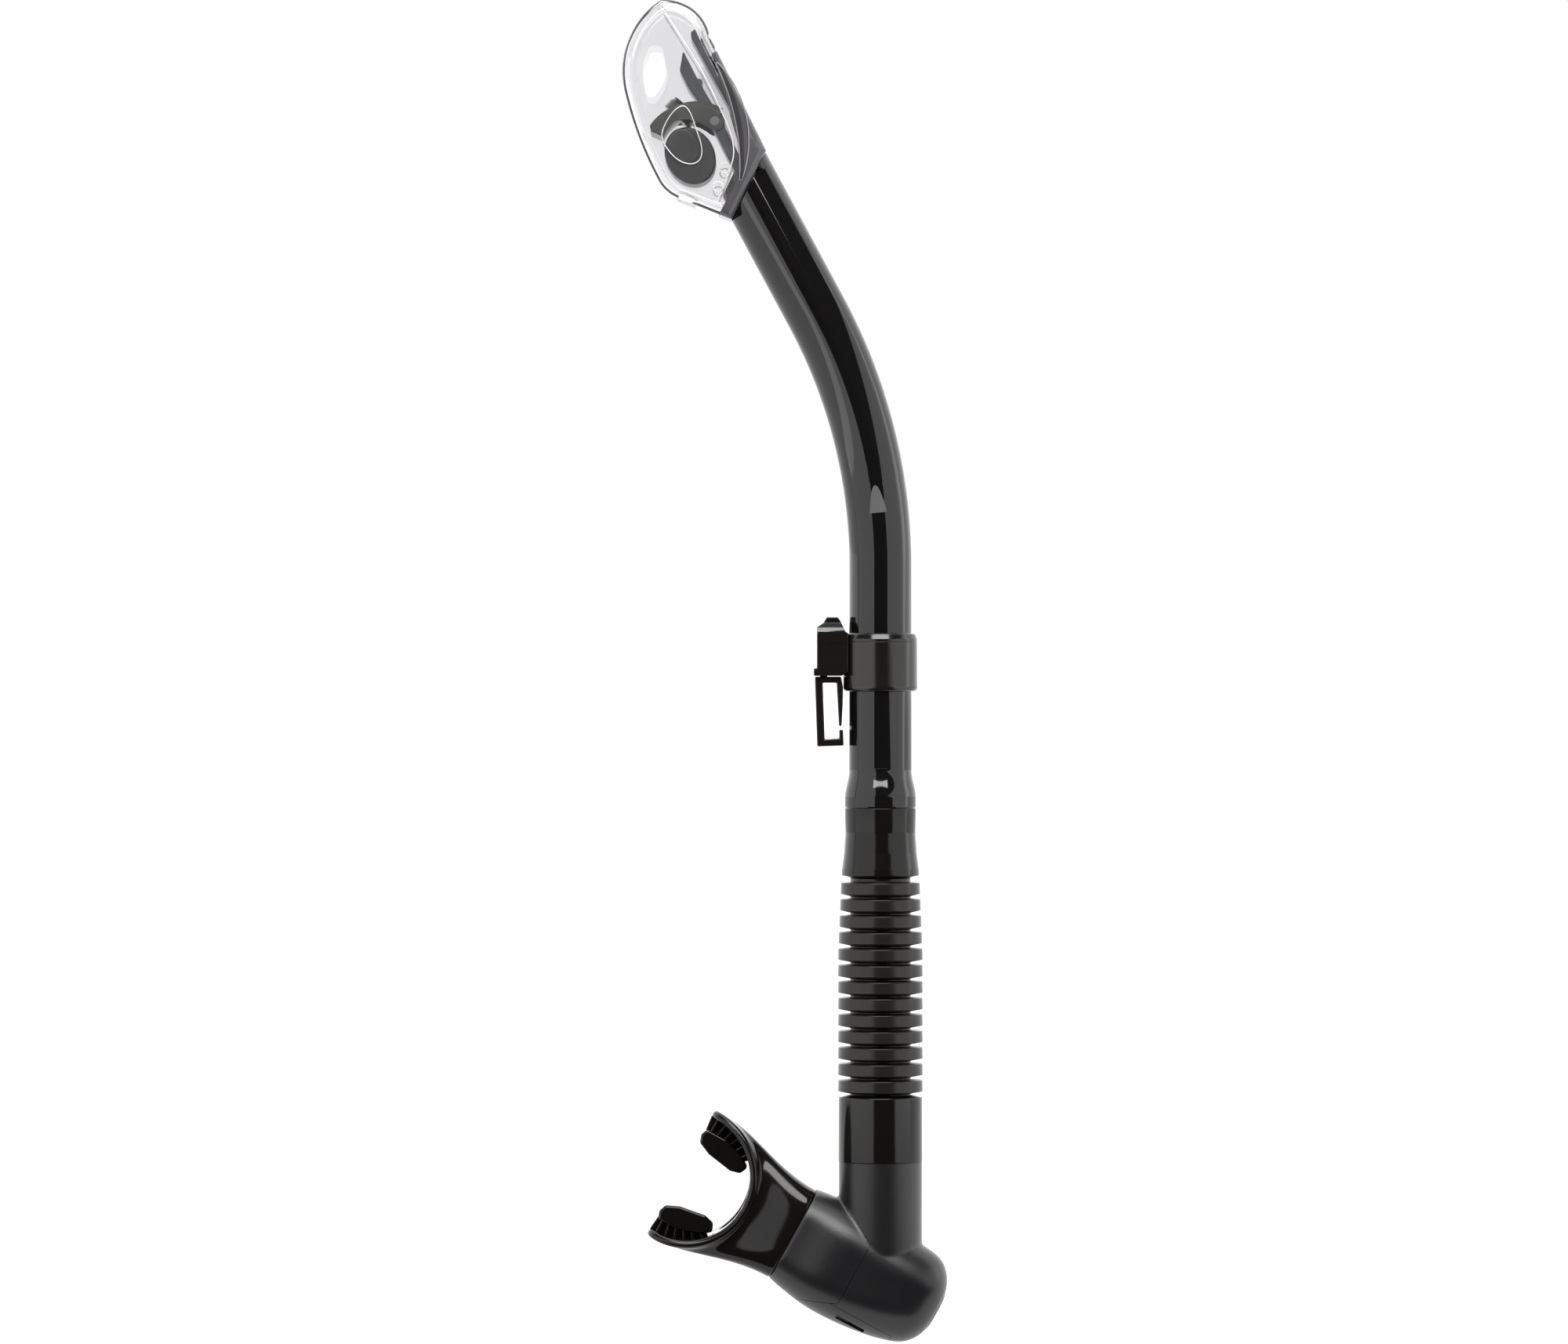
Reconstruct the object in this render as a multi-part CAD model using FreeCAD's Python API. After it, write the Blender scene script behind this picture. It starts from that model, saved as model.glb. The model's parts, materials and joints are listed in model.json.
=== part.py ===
"""Dry-top snorkel tube: barrel, float valve, keeper clip, corrugated hose, elbow and mouthpiece.

Units are millimetres. +Z runs up along the straight part of the barrel, +X points from the
mask strap loop towards the barrel, and +Y points away from the side that carries the key flat.
The origin is the middle of the loop that the mask strap passes through.
"""
import FreeCAD, Part
import math
import os

V = FreeCAD.Vector

# ---------------------------------------------------------------- barrel tube
TUBE_X = 17.5            # axis of the straight part, the hose and the elbow's neck
TUBE_R = 10.8            # outer radius
BORE_R = 9.2             # inner radius
BELL_END_Z = -33.5       # lower end of the rigid tube
BELL_R = 12.7            # flared lower end
BELL_BORE_R = 11.0
BEND_START_Z = 49.9
BEND_RADIUS = 183.9
BEND_ANGLE = 28.3        # degrees, towards -X
SPIGOT_R = 9.7           # reduced upper end that enters the inlet housing
SPIGOT_BORE_R = 8.5
SPIGOT_LENGTH = 8.0      # from the slanted seam to the end of the spigot
SEAM_LEFT = (-10.8, 41.4)     # slanted seam between tube and housing: (across, along)
SEAM_RIGHT = (10.8, 56.6)

# Key flat on the -Y side, which the keeper slides along
KEY_FLAT_DEPTH = 0.24
KEY_RAMP_DEPTH = 0.42
KEY_FLAT_TOP_Z = 67.8
KEY_RAMP_TOP_Z = 77.2

# ---------------------------------------------------------------- dry top
TOP_HALF_Y = 14.0
TOP_WALL = 1.5
DUCT_HALF_Y = 10.4
DUCT_WALL = 1.4
DUCT_LEFT = -2.0         # outer face of the duct wall that carries the valve seat
DUCT_RIGHT = 8.6
PIN_ALONG = 73.7         # float hinge, along the upper straight
PIN_ACROSS = 0.0
PIN_R = 1.2
FLOAT_TRAVEL = 18.0      # degrees from hanging open to closed
FLOAT_CENTRE = (-13.0, 67.4)
FLOAT_HALF = (8.4, 10.2)
FLOAT_HALF_Y = 9.0
ARM_CENTRE = (-10.5, 67.5)
ARM_OUTER_R = 17.2
ARM_THICKNESS = 4.6
SEAL_ALONG = 84.6        # middle of the valve seat
SEAL_HALF = (5.4, 8.6)   # half length along the duct, half width in Y
SEAL_THICKNESS = 1.4
SEAT_GAP = 0.3

# ---------------------------------------------------------------- keeper and strap hook
BAND_LOW_Z = 6.5
BAND_HIGH_Z = 26.5
BAND_R = 13.1
FIT_GAP = 0.06
BLOCK_LEFT = -4.6
BLOCK_LOW_Z = 11.9
BLOCK_HIGH_Z = 29.2
BLOCK_HALF_Y = 8.0
RAIL_LOW_Z = 12.2         # tee rail on the band that the block slides onto when it is put together
RAIL_HIGH_Z = 24.0
RAIL_NECK_HALF_Y = 2.6
RAIL_HEAD_HALF_Y = 4.6
POCKET_TOP_Z = 23.0      # room for the hook's tongue inside the block
HOOK_HALF_Y = 6.0
HOOK_LEFT = -5.1
HOOK_RIGHT = 5.1
HOOK_LOW_Z = -12.4
HOOK_TOP_Z = 11.6
YOKE_RIGHT = 3.9
TONGUE_TOP_Z = 21.5
GATE_END_Z = -5.4        # the gap between the gate and the lip lets the strap in
LIP_TOP_Z = -6.6

# ---------------------------------------------------------------- hose
HOSE_TOP_Z = -33.6
HOSE_LOW_Z = -155.2
HOSE_CORE_R = 10.4
HOSE_BORE_R = 9.1
RING_COUNT = 13
RING_FIRST_TOP_Z = -59.3
RING_PITCH = 5.66
RING_HEIGHT = 3.4
RING_SLOPE = 1.4
RING_R_FIRST = 13.7
RING_R_LAST = 14.6
COUPLING_R = 10.4
COUPLING_LOW_Z = -55.0

# ---------------------------------------------------------------- elbow and mouthpiece
NECK_R = 14.3
NECK_TOP_Z = -155.3
NECK_SPIGOT_R = 12.2
NECK_SPIGOT_TOP_Z = -137.0
NECK_BORE_R = 10.6
MOUTH_SEAM = V(-12.83, 0, -179.96)   # middle of the seam between collar and mouthpiece
MOUTH_TILT = 28.8                    # degrees that the mouth axis drops from -X side to +X side
# Chamber sections from the mouth seam: (along, low, high, half width, corner radius)
CHAMBER = [
    (0.0, -17.1, 17.1, 14.6, 9.0),
    (12.0, -19.6, 18.4, 14.9, 10.5),
    (24.7, -19.9, 18.6, 14.9, 10.5),
    (38.0, -18.5, 18.2, 14.9, 10.5),
    (47.0, -16.3, 17.4, 14.0, 9.6),
    (53.5, -12.3, 13.4, 10.6, 7.2),
    (56.6, -5.6, 5.8, 5.2, 3.4),
]
SKIN = 2.0               # collar shell thickness
GAP = 0.1
COLLAR_END = 24.7
COLLAR_LINE = [(11.7, -18.7), (24.7, -12.9)]
SKIRT_END = 10.8
COVER_FROM = 10.9
COVER_TO = 46.5
COVER_TOP = -14.2
PURGE_ALONG = 30.5
PURGE_DISC_R = 9.6
PORT_FROM = 26.5         # exhaust port through each side of the belly cover
PORT_TO = 37.5
PORT_LOW = -17.9
PORT_HIGH = -16.6
ARCH_CENTRE = -41.5      # centre of the dental arch, along the mouth axis
ARCH_R = 21.8
FLANGE_THICKNESS = 2.8
FLANGE_HALF_Y = 12.0
LUG_INNER_R = 11.8


# ---------------------------------------------------------------- helpers
def box(x0, x1, y0, y1, z0, z1):
    return Part.makeBox(x1 - x0, y1 - y0, z1 - z0, V(x0, y0, z0))


def rod(radius, base, direction, length):
    return Part.makeCylinder(radius, length, base, direction)


def upright(radius, x, z0, z1):
    return rod(radius, V(x, 0, z0), V(0, 0, 1), z1 - z0)


def cross_rod(radius, x, z, y0, y1):
    return rod(radius, V(x, y0, z), V(0, 1, 0), y1 - y0)


def turned(profile, x=0.0):
    """Solid of revolution about a vertical axis at x, from (radius, z) corners."""
    corners = [V(x + r, 0, z) for r, z in profile]
    face = Part.Face(Part.makePolygon(corners + corners[:1]))
    return face.revolve(V(x, 0, 0), V(0, 0, 1), 360)


def slab(wire, y0, y1):
    """Flat solid from a closed wire in the XZ plane."""
    face = Part.Face(wire)
    face.translate(V(0, y0, 0))
    return face.extrude(V(0, y1 - y0, 0))


def polygon(points):
    corners = [V(x, 0, z) for x, z in points]
    return Part.makePolygon(corners + corners[:1])


def ellipse(centre, half):
    """Closed ellipse in the XZ plane, its half sizes given as (x, z)."""
    wide, tall = half
    if tall >= wide:
        major, minor, axis = tall, wide, V(0, 0, 1)
    else:
        major, minor, axis = wide, tall, V(1, 0, 0)
    middle = V(centre[0], 0, centre[1])
    side = V(0, 1, 0).cross(axis)
    curve = Part.Ellipse(middle + axis * major, middle + side * minor, middle)
    return Part.Wire([curve.toShape()])


def arc(a, b, c):
    """Edge through three (x, z) points."""
    return Part.Arc(V(a[0], 0, a[1]), V(b[0], 0, b[1]), V(c[0], 0, c[1])).toShape()


def line(a, b):
    return Part.makeLine(V(a[0], 0, a[1]), V(b[0], 0, b[1]))


def polar(centre, radius, degrees):
    """Point in the XZ plane; the angle is counted from +x towards +z."""
    turn = math.radians(degrees)
    return (centre[0] + radius * math.cos(turn), centre[1] + radius * math.sin(turn))


def sector(centre, inner, outer, start, end, y0, y1):
    """Part of a ring in the XZ plane, between two angles."""
    middle = (start + end) / 2
    wire = Part.Wire([
        arc(polar(centre, outer, start), polar(centre, outer, middle), polar(centre, outer, end)),
        line(polar(centre, outer, end), polar(centre, inner, end)),
        arc(polar(centre, inner, end), polar(centre, inner, middle), polar(centre, inner, start)),
        line(polar(centre, inner, start), polar(centre, outer, start)),
    ])
    return slab(wire, y0, y1)


def rounded_section(along, low, high, half_y, corner):
    """Rounded rectangle in the plane x = along, spanning low..high in z."""
    bevel = corner * (1 - math.sqrt(0.5))
    top, right = high - corner, half_y - corner
    bottom = low + corner

    def at(y, z):
        return V(along, y, z)

    edges = [
        Part.makeLine(at(-right, high), at(right, high)),
        Part.Arc(at(right, high), at(half_y - bevel, high - bevel), at(half_y, top)).toShape(),
        Part.makeLine(at(half_y, top), at(half_y, bottom)),
        Part.Arc(at(half_y, bottom), at(half_y - bevel, low + bevel), at(right, low)).toShape(),
        Part.makeLine(at(right, low), at(-right, low)),
        Part.Arc(at(-right, low), at(bevel - half_y, low + bevel), at(-half_y, bottom)).toShape(),
        Part.makeLine(at(-half_y, bottom), at(-half_y, top)),
        Part.Arc(at(-half_y, top), at(bevel - half_y, high - bevel), at(-right, high)).toShape(),
    ]
    return Part.Wire(edges)


def skin(sections, inset=0.0, ruled=False):
    """Loft through rounded sections, each drawn in by the inset."""
    wires = []
    for along, low, high, half_y, corner in sections:
        radius = max(corner - inset, 0.8)
        wires.append(rounded_section(along, low + inset, high - inset, half_y - inset, radius))
    return Part.makeLoft(wires, True, ruled)


def bend_end():
    turn = math.radians(BEND_ANGLE)
    return V(
        TUBE_X - BEND_RADIUS * (1 - math.cos(turn)),
        0,
        BEND_START_Z + BEND_RADIUS * math.sin(turn),
    )


def at_top(shape):
    """Moves a shape drawn with x across and z along the upper straight into place."""
    placed = shape.copy()
    placed.Placement = FreeCAD.Placement(
        bend_end(), FreeCAD.Rotation(V(0, 1, 0), -BEND_ANGLE)
    ).multiply(placed.Placement)
    return placed


def at_mouth(shape):
    """Moves a shape drawn with x along the mouth axis into place."""
    placed = shape.copy()
    placed.Placement = FreeCAD.Placement(
        MOUTH_SEAM, FreeCAD.Rotation(V(0, 1, 0), MOUTH_TILT)
    ).multiply(placed.Placement)
    return placed


def from_mouth(shape):
    """The inverse of at_mouth, for shapes drawn in the object's own frame."""
    placed = shape.copy()
    placed.Placement = FreeCAD.Placement(
        MOUTH_SEAM, FreeCAD.Rotation(V(0, 1, 0), MOUTH_TILT)
    ).inverse().multiply(placed.Placement)
    return placed


def fused(shapes):
    return shapes[0].multiFuse(shapes[1:]).removeSplitter()


# ---------------------------------------------------------------- barrel
def bent_rod(radius, low_z, top_along):
    """Straight, bend and upper straight of one round rod along the barrel's axis."""
    straight = upright(radius, TUBE_X, low_z, BEND_START_Z)
    disc = Part.Face(Part.Wire([Part.makeCircle(radius, V(TUBE_X, 0, BEND_START_Z))]))
    hub = V(TUBE_X - BEND_RADIUS, 0, BEND_START_Z)
    bend = disc.revolve(hub, V(0, -1, 0), BEND_ANGLE)
    upper = at_top(upright(radius, 0, 0, top_along))
    return fused([straight, bend, upper])


def below_seam(shift=0.0):
    """Everything on the tube's side of the slanted seam, or of a plane that far above it."""
    slope = (SEAM_RIGHT[1] - SEAM_LEFT[1]) / (SEAM_RIGHT[0] - SEAM_LEFT[0])
    middle = (SEAM_LEFT[1] + SEAM_RIGHT[1]) / 2 + shift
    corners = [(-60, middle - 60 * slope), (60, middle + 60 * slope), (60, -90), (-60, -90)]
    return slab(polygon(corners), -30, 30)


def barrel_tube():
    above_seam = at_top(box(-30, 30, -30, 30, 30, 90).cut(below_seam()))
    body = bent_rod(TUBE_R, -10.0, 62.0).cut(above_seam)
    spigot = at_top(upright(SPIGOT_R, 0, 30.0, 75.0).common(below_seam(SPIGOT_LENGTH)))
    bell = turned(
        [(0, -10.0), (TUBE_R, -10.0), (TUBE_R, -25.4), (TUBE_R + 0.4, -27.2), (BELL_R - 0.3, -29.4),
         (BELL_R, -30.6), (BELL_R, BELL_END_Z), (0, BELL_END_Z)], TUBE_X)
    tube = fused([body, spigot, bell])
    tube = tube.cut(bent_rod(BORE_R, BELL_END_Z - 1, 36.0))
    tube = tube.cut(at_top(upright(SPIGOT_BORE_R, 0, 30.0, 80.0)))
    tube = tube.cut(upright(BELL_BORE_R, TUBE_X, BELL_END_Z - 1, -27.5))
    return tube.cut(key_flat())


def key_flat(extra=0.0):
    """Cutter for the flat and for the ramp that ends it."""
    face_y = -(TUBE_R - KEY_FLAT_DEPTH) - extra
    flat = box(TUBE_X - 6, TUBE_X + 6, -30, face_y, -25.0, KEY_FLAT_TOP_Z)
    ramp_y = -(TUBE_R - KEY_RAMP_DEPTH)
    ramp_side = [V(TUBE_X - 6, ramp_y, KEY_FLAT_TOP_Z), V(TUBE_X - 6, -TUBE_R, KEY_RAMP_TOP_Z),
                 V(TUBE_X - 6, -30, KEY_RAMP_TOP_Z), V(TUBE_X - 6, -30, KEY_FLAT_TOP_Z)]
    ramp = Part.Face(Part.makePolygon(ramp_side + ramp_side[:1])).extrude(V(12, 0, 0))
    return fused([flat, ramp])


def hose_coupling():
    """Glued into the bell; the hose turns on its lower spigot and a rib keeps it on."""
    return turned(
        [(8.9, -27.7), (BELL_BORE_R - 0.05, -27.7), (BELL_BORE_R - 0.05, BELL_END_Z + 0.05),
         (COUPLING_R, BELL_END_Z + 0.05), (COUPLING_R, -44.0), (COUPLING_R + 0.7, -44.6),
         (COUPLING_R + 0.7, -45.6), (COUPLING_R, -46.2), (COUPLING_R, COUPLING_LOW_Z + 1.0),
         (COUPLING_R - 0.5, COUPLING_LOW_Z), (8.9, COUPLING_LOW_Z)], TUBE_X)


# ---------------------------------------------------------------- dry top
def top_outline():
    """Side view of the whole dry top above the slanted seam, as (across, along)."""
    return Part.Wire([
        line(SEAM_LEFT, SEAM_RIGHT),
        line(SEAM_RIGHT, (12.3, 100.0)),
        arc((12.3, 100.0), (10.6, 113.4), (3.6, 119.4)),
        arc((3.6, 119.4), (-4.2, 117.7), (-11.9, 113.2)),
        arc((-11.9, 113.2), (-18.8, 105.6), (-22.5, 96.9)),
        arc((-22.5, 96.9), (-25.8, 80.0), (-26.7, 64.0)),
        arc((-26.7, 64.0), (-25.7, 60.0), (-23.8, 56.8)),
        line((-23.8, 56.8), SEAM_LEFT),
    ])


def teardrop(grow=0.0):
    """The opening through the cap, as (across, along)."""
    wire = Part.Wire([
        arc((-6.3, 107.2), (-3.8, 105.4), (-4.3, 101.0)),
        line((-4.3, 101.0), (-5.6, 96.0)),
        line((-5.6, 96.0), (-13.6, 89.9)),
        arc((-13.6, 89.9), (-16.6, 90.9), (-16.9, 94.0)),
        arc((-16.9, 94.0), (-13.8, 101.5), (-9.6, 106.2)),
        arc((-9.6, 106.2), (-8.0, 107.4), (-6.3, 107.2)),
    ])
    return wire.makeOffset2D(grow) if grow else wire


HOUSING_EDGE = [(12.9, 94.4), (10.2, 94.4), (9.6, 90.0), (3.6, 61.6), (-1.0, 53.5), (-14.4, 44.6)]


def housing_side():
    """The share of the dry top that is opaque housing, in side view."""
    return slab(polygon(HOUSING_EDGE + [(-30.0, 30.0), (30.0, 30.0), (30.0, 94.4)]), -30, 30)


def end_view(inset=0.0):
    """Outline seen along X: it widens from the tube up to the full thickness, then narrows."""
    profile = [(TUBE_R + 0.1, 40.0), (TOP_HALF_Y, 60.0), (TOP_HALF_Y, 106.0), (10.0, 119.0),
               (9.0, 125.0)]
    corners = [V(-40, y - inset, z) for y, z in profile]
    corners += [V(-40, inset - y, z) for y, z in reversed(profile)]
    return Part.Face(Part.makePolygon(corners + corners[:1])).extrude(V(80, 0, 0))


def top_block():
    return slab(top_outline(), -TOP_HALF_Y, TOP_HALF_Y).common(end_view())


def top_cavity():
    return slab(top_outline().makeOffset2D(-TOP_WALL), -TOP_HALF_Y, TOP_HALF_Y).common(end_view(TOP_WALL))


def socket_rod():
    """Outside of the socket that takes the tube's spigot."""
    return upright(SPIGOT_R + 1.9, 0, 30.0, 75.0).common(below_seam(SPIGOT_LENGTH + 1.0))


def inlet_housing():
    """Socket over the tube's end, and the spine that backs the air duct."""
    side = top_block().common(housing_side())
    shell = side.cut(top_cavity())
    sleeve = socket_rod().common(top_block())
    floor = side.common(box(-30, 20, -14.0, 14.0, 30, 51)).common(below_seam(SPIGOT_LENGTH))
    body = fused([shell, sleeve, floor])
    return at_top(body.cut(upright(SPIGOT_R + 0.05, 0, 20.0, 75.0)))


def inlet_duct():
    """Inner air duct: it stands on the tube's end and carries the valve seat and hinge."""
    room = slab(top_outline().makeOffset2D(-TOP_WALL - 0.15), -20, 20)
    above_slant = polygon([(DUCT_LEFT - 1, 95.0), (9.6, 108.0), (-10.0, 108.0), (-10.0, 95.0)])
    slant = slab(above_slant, -20, 20)
    walls = box(DUCT_LEFT, DUCT_RIGHT, -DUCT_HALF_Y, DUCT_HALF_Y, 40.0, 100.0)
    walls = walls.cut(slant).common(room).cut(below_seam(SPIGOT_LENGTH + 1.2))
    flange = upright(SPIGOT_R - 0.1, 0, 40.0, 75.0)
    flange = flange.common(below_seam(SPIGOT_LENGTH + 2.8)).cut(below_seam(SPIGOT_LENGTH + 0.2))
    rim = seat_plug(SEAL_HALF[0] - 0.6, SEAL_HALF[1] - 0.6, DUCT_LEFT - 0.5, DUCT_LEFT + 0.5)
    inner_y = DUCT_HALF_Y - DUCT_WALL
    inner = box(DUCT_LEFT + DUCT_WALL, DUCT_RIGHT - DUCT_WALL, -inner_y, inner_y, 40.0, 93.4)
    inner = inner.cut(below_seam(SPIGOT_LENGTH + 2.8))
    throat = box(DUCT_LEFT + DUCT_WALL, DUCT_RIGHT - DUCT_WALL, -4.6, 4.6, 40.0, 75.0)
    window = seat_plug(SEAL_HALF[0] - 1.6, SEAL_HALF[1] - 1.6, DUCT_LEFT - 5, DUCT_LEFT + 3)
    bosses = cross_rod(3.0, PIN_ACROSS, PIN_ALONG, -DUCT_HALF_Y, DUCT_HALF_Y)
    bosses = bosses.cut(box(-10, 10, -7.5, 7.5, 60, 90)).common(box(DUCT_LEFT, 4, -20, 20, 60, 90))
    duct = fused([walls.cut(inner), flange, rim, bosses]).cut(throat).cut(window)
    pin_holes = cross_rod(PIN_R, PIN_ACROSS, PIN_ALONG, -20, 20).cut(box(-9, 9, -8.3, 8.3, 60, 90))
    return at_top(duct.cut(pin_holes))


def seat_plug(half_along, half_y, x0, x1):
    """Oval prism along the direction that looks into the duct's side."""
    if half_along >= half_y:
        major, minor, axis = half_along, half_y, V(0, 0, 1)
    else:
        major, minor, axis = half_y, half_along, V(0, 1, 0)
    middle = V(x0, 0, SEAL_ALONG)
    side = V(1, 0, 0).cross(axis)
    curve = Part.Ellipse(middle + axis * major, middle + side * minor, middle)
    return Part.Face(Part.Wire([curve.toShape()])).extrude(V(x1 - x0, 0, 0))


def splash_cap():
    """Clear cover over the float, with the teardrop opening through it."""
    hollow = top_cavity().cut(slab(teardrop(TOP_WALL), -20, 20))
    cap = top_block().cut(housing_side()).cut(hollow).cut(slab(teardrop(), -20, 20))
    cap = cap.cut(upright(SPIGOT_R + 2.0, 0, 30.0, 75.0))
    cap = cap.cut(box(7.0, 14.0, -3.6, 3.6, 94.0, 101.4))
    for y in (-7.0, 0.0, 7.0):
        cap = cap.cut(box(-24.5, -16.5, y - 1.2, y + 1.2, 40, 58))
    return at_top(cap)


def cap_latch():
    """Catch on the spine that holds the cap's upper edge."""
    arm = box(DUCT_RIGHT + 0.1, 10.1, -3.4, 3.4, 88.0, 101.0)
    head = slab(polygon([(10.0, 95.8), (12.2, 96.6), (12.2, 98.8), (10.0, 101.0)]), -3.4, 3.4)
    return at_top(fused([arm, head]))


def float_pins():
    pins = []
    for side in (-1, 1):
        low, high = sorted((side * 8.4, side * 12.2))
        pin = cross_rod(PIN_R - 0.04, PIN_ACROSS, PIN_ALONG, low, high)
        head = Part.makeSphere(1.6, V(PIN_ACROSS, side * 12.2, PIN_ALONG))
        head = head.common(box(-3, 3, *sorted((side * 12.1, side * 12.45)), 60, 90))
        pins.append(at_top(fused([pin, head])))
    return Part.makeCompound(pins)


def closing(shape, share):
    """Turns a shape in the top frame about the float hinge by a share of the travel."""
    turned_shape = shape.copy()
    turned_shape.rotate(V(PIN_ACROSS, 0, PIN_ALONG), V(0, 1, 0), share * FLOAT_TRAVEL)
    return turned_shape


def seal_stack(half_along, half_y, near, far):
    """Oval slab beside the seat as it lies when the valve is closed, turned back to rest."""
    return closing(seat_plug(half_along, half_y, DUCT_LEFT - 0.5 - far, DUCT_LEFT - 0.5 - near), -1)


def valve_seal():
    return at_top(seal_stack(SEAL_HALF[0], SEAL_HALF[1], SEAT_GAP, SEAT_GAP + SEAL_THICKNESS))


def float_lever():
    """Two side arms on the hinge pins, an arched bridge, and the pad that carries the seal."""
    parts = [sector(ARM_CENTRE, ARM_OUTER_R - ARM_THICKNESS, ARM_OUTER_R, 62, 128, -11.9, 11.9)]
    for side in (-1, 1):
        low, high = sorted((side * 10.7, side * 11.9))
        parts.append(sector(ARM_CENTRE, ARM_OUTER_R - ARM_THICKNESS, ARM_OUTER_R, 30, 63, low, high))
        parts.append(cross_rod(3.2, PIN_ACROSS, PIN_ALONG, low, high))
    backing = seal_stack(SEAL_HALF[0] + 0.4, SEAL_HALF[1] + 0.4, SEAT_GAP + SEAL_THICKNESS + 0.05,
                         SEAT_GAP + SEAL_THICKNESS + 3.4)
    lever = fused(parts + [backing])
    clear = box(DUCT_LEFT - 0.9, 14, -10.65, 10.65, 55, 110)
    lever = lever.cut(clear).cut(closing(clear, -1)).cut(closing(clear, -0.5))
    lever = lever.cut(seal_stack(SEAL_HALF[0] + 2, SEAL_HALF[1] + 2, -6, SEAT_GAP + SEAL_THICKNESS))
    lever = lever.cut(slab(ellipse(FLOAT_CENTRE, (FLOAT_HALF[0] + 0.05, FLOAT_HALF[1] + 0.05)),
                           -FLOAT_HALF_Y - 0.05, FLOAT_HALF_Y + 0.05))
    lever = lever.cut(cross_rod(PIN_R + 0.04, PIN_ACROSS, PIN_ALONG, -20, 20))
    return at_top(lever)


def float_body():
    """Hollow buoyant drum."""
    drum = slab(ellipse(FLOAT_CENTRE, FLOAT_HALF), -FLOAT_HALF_Y, FLOAT_HALF_Y)
    hollow = slab(ellipse(FLOAT_CENTRE, (FLOAT_HALF[0] - 1.2, FLOAT_HALF[1] - 1.2)),
                  -FLOAT_HALF_Y - 1, FLOAT_HALF_Y + 1)
    return at_top(drum.cut(hollow))


def float_end_caps():
    caps = []
    for side in (-1, 1):
        plate = slab(ellipse(FLOAT_CENTRE, (FLOAT_HALF[0] - 0.1, FLOAT_HALF[1] - 0.1)),
                     *sorted((side * (FLOAT_HALF_Y + 0.02), side * (FLOAT_HALF_Y + 0.9))))
        plug = slab(ellipse(FLOAT_CENTRE, (FLOAT_HALF[0] - 1.25, FLOAT_HALF[1] - 1.25)),
                    *sorted((side * (FLOAT_HALF_Y - 1.5), side * (FLOAT_HALF_Y + 0.9))))
        boss = slab(ellipse((-13.4, 71.1), (5.4, 6.4)),
                    *sorted((side * (FLOAT_HALF_Y + 0.5), side * 11.6)))
        caps.append(at_top(fused([plate, plug, boss])))
    return Part.makeCompound(caps)


# ---------------------------------------------------------------- keeper
def keeper_band():
    """Ring that slides on the barrel, keyed by the flat, with a tee rail for the receiver."""
    ring_body = upright(BAND_R, TUBE_X, BAND_LOW_Z, BAND_HIGH_Z)
    ring_body = ring_body.makeFillet(2.4, [e for e in ring_body.Edges if len(e.Vertexes) == 1])
    neck = box(2.4, TUBE_X - BAND_R + 1.5, -RAIL_NECK_HALF_Y, RAIL_NECK_HALF_Y, RAIL_LOW_Z, RAIL_HIGH_Z)
    head = box(1.0, 2.6, -RAIL_HEAD_HALF_Y, RAIL_HEAD_HALF_Y, RAIL_LOW_Z, RAIL_HIGH_Z)
    bore = upright(TUBE_R + FIT_GAP, TUBE_X, 0, 40)
    bore = bore.cut(box(TUBE_X - 6, TUBE_X + 6, -20, -(TUBE_R - KEY_FLAT_DEPTH + FIT_GAP), 0, 40))
    return fused([ring_body, neck, head]).cut(bore)


def clip_receiver():
    """Block with the pocket that the strap hook's tongue snaps into."""
    side = polygon([(BLOCK_LEFT, BLOCK_LOW_Z), (4.1, BLOCK_LOW_Z), (4.1, 28.0), (3.0, BLOCK_HIGH_Z),
                    (-3.4, BLOCK_HIGH_Z), (BLOCK_LEFT, 27.0)])
    block = slab(side, -BLOCK_HALF_Y, BLOCK_HALF_Y)
    ear = box(-5.7, BLOCK_LEFT + 0.5, -BLOCK_HALF_Y, BLOCK_HALF_Y, BLOCK_LOW_Z, 15.1)
    block = fused([block, ear])
    play = 0.05
    rail_top = RAIL_HIGH_Z + play
    tee_neck = box(2.4 - play, 8, -RAIL_NECK_HALF_Y - play, RAIL_NECK_HALF_Y + play, 0, rail_top)
    tee_head = box(1.0 - play, 2.6 + play, -RAIL_HEAD_HALF_Y - play, RAIL_HEAD_HALF_Y + play, 0, rail_top)
    pocket = box(-3.7, -0.5, -4.6, 4.6, 0, POCKET_TOP_Z)
    shaft = box(-1.7, 1.0, -2.9, 2.9, 24.6, 35)
    shaft_low = box(-1.7, -0.5, -2.9, 2.9, 22.0, 25)
    band_room = upright(BAND_R + 0.05, TUBE_X, 0, 40)
    return block.cut(tee_neck).cut(tee_head).cut(pocket).cut(shaft).cut(shaft_low).cut(band_room)


def release_tab():
    """Button whose stem spreads the latch; it travels down into the receiver."""
    side = polygon([(-1.4, 31.0), (2.9, 31.0), (2.9, 31.6), (1.6, 32.4), (-1.4, 32.4)])
    cap = slab(side, -4.0, 4.0)
    stem = box(-1.4, 0.7, -2.6, 2.6, 26.2, 31.2)
    return fused([cap, stem])


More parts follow.
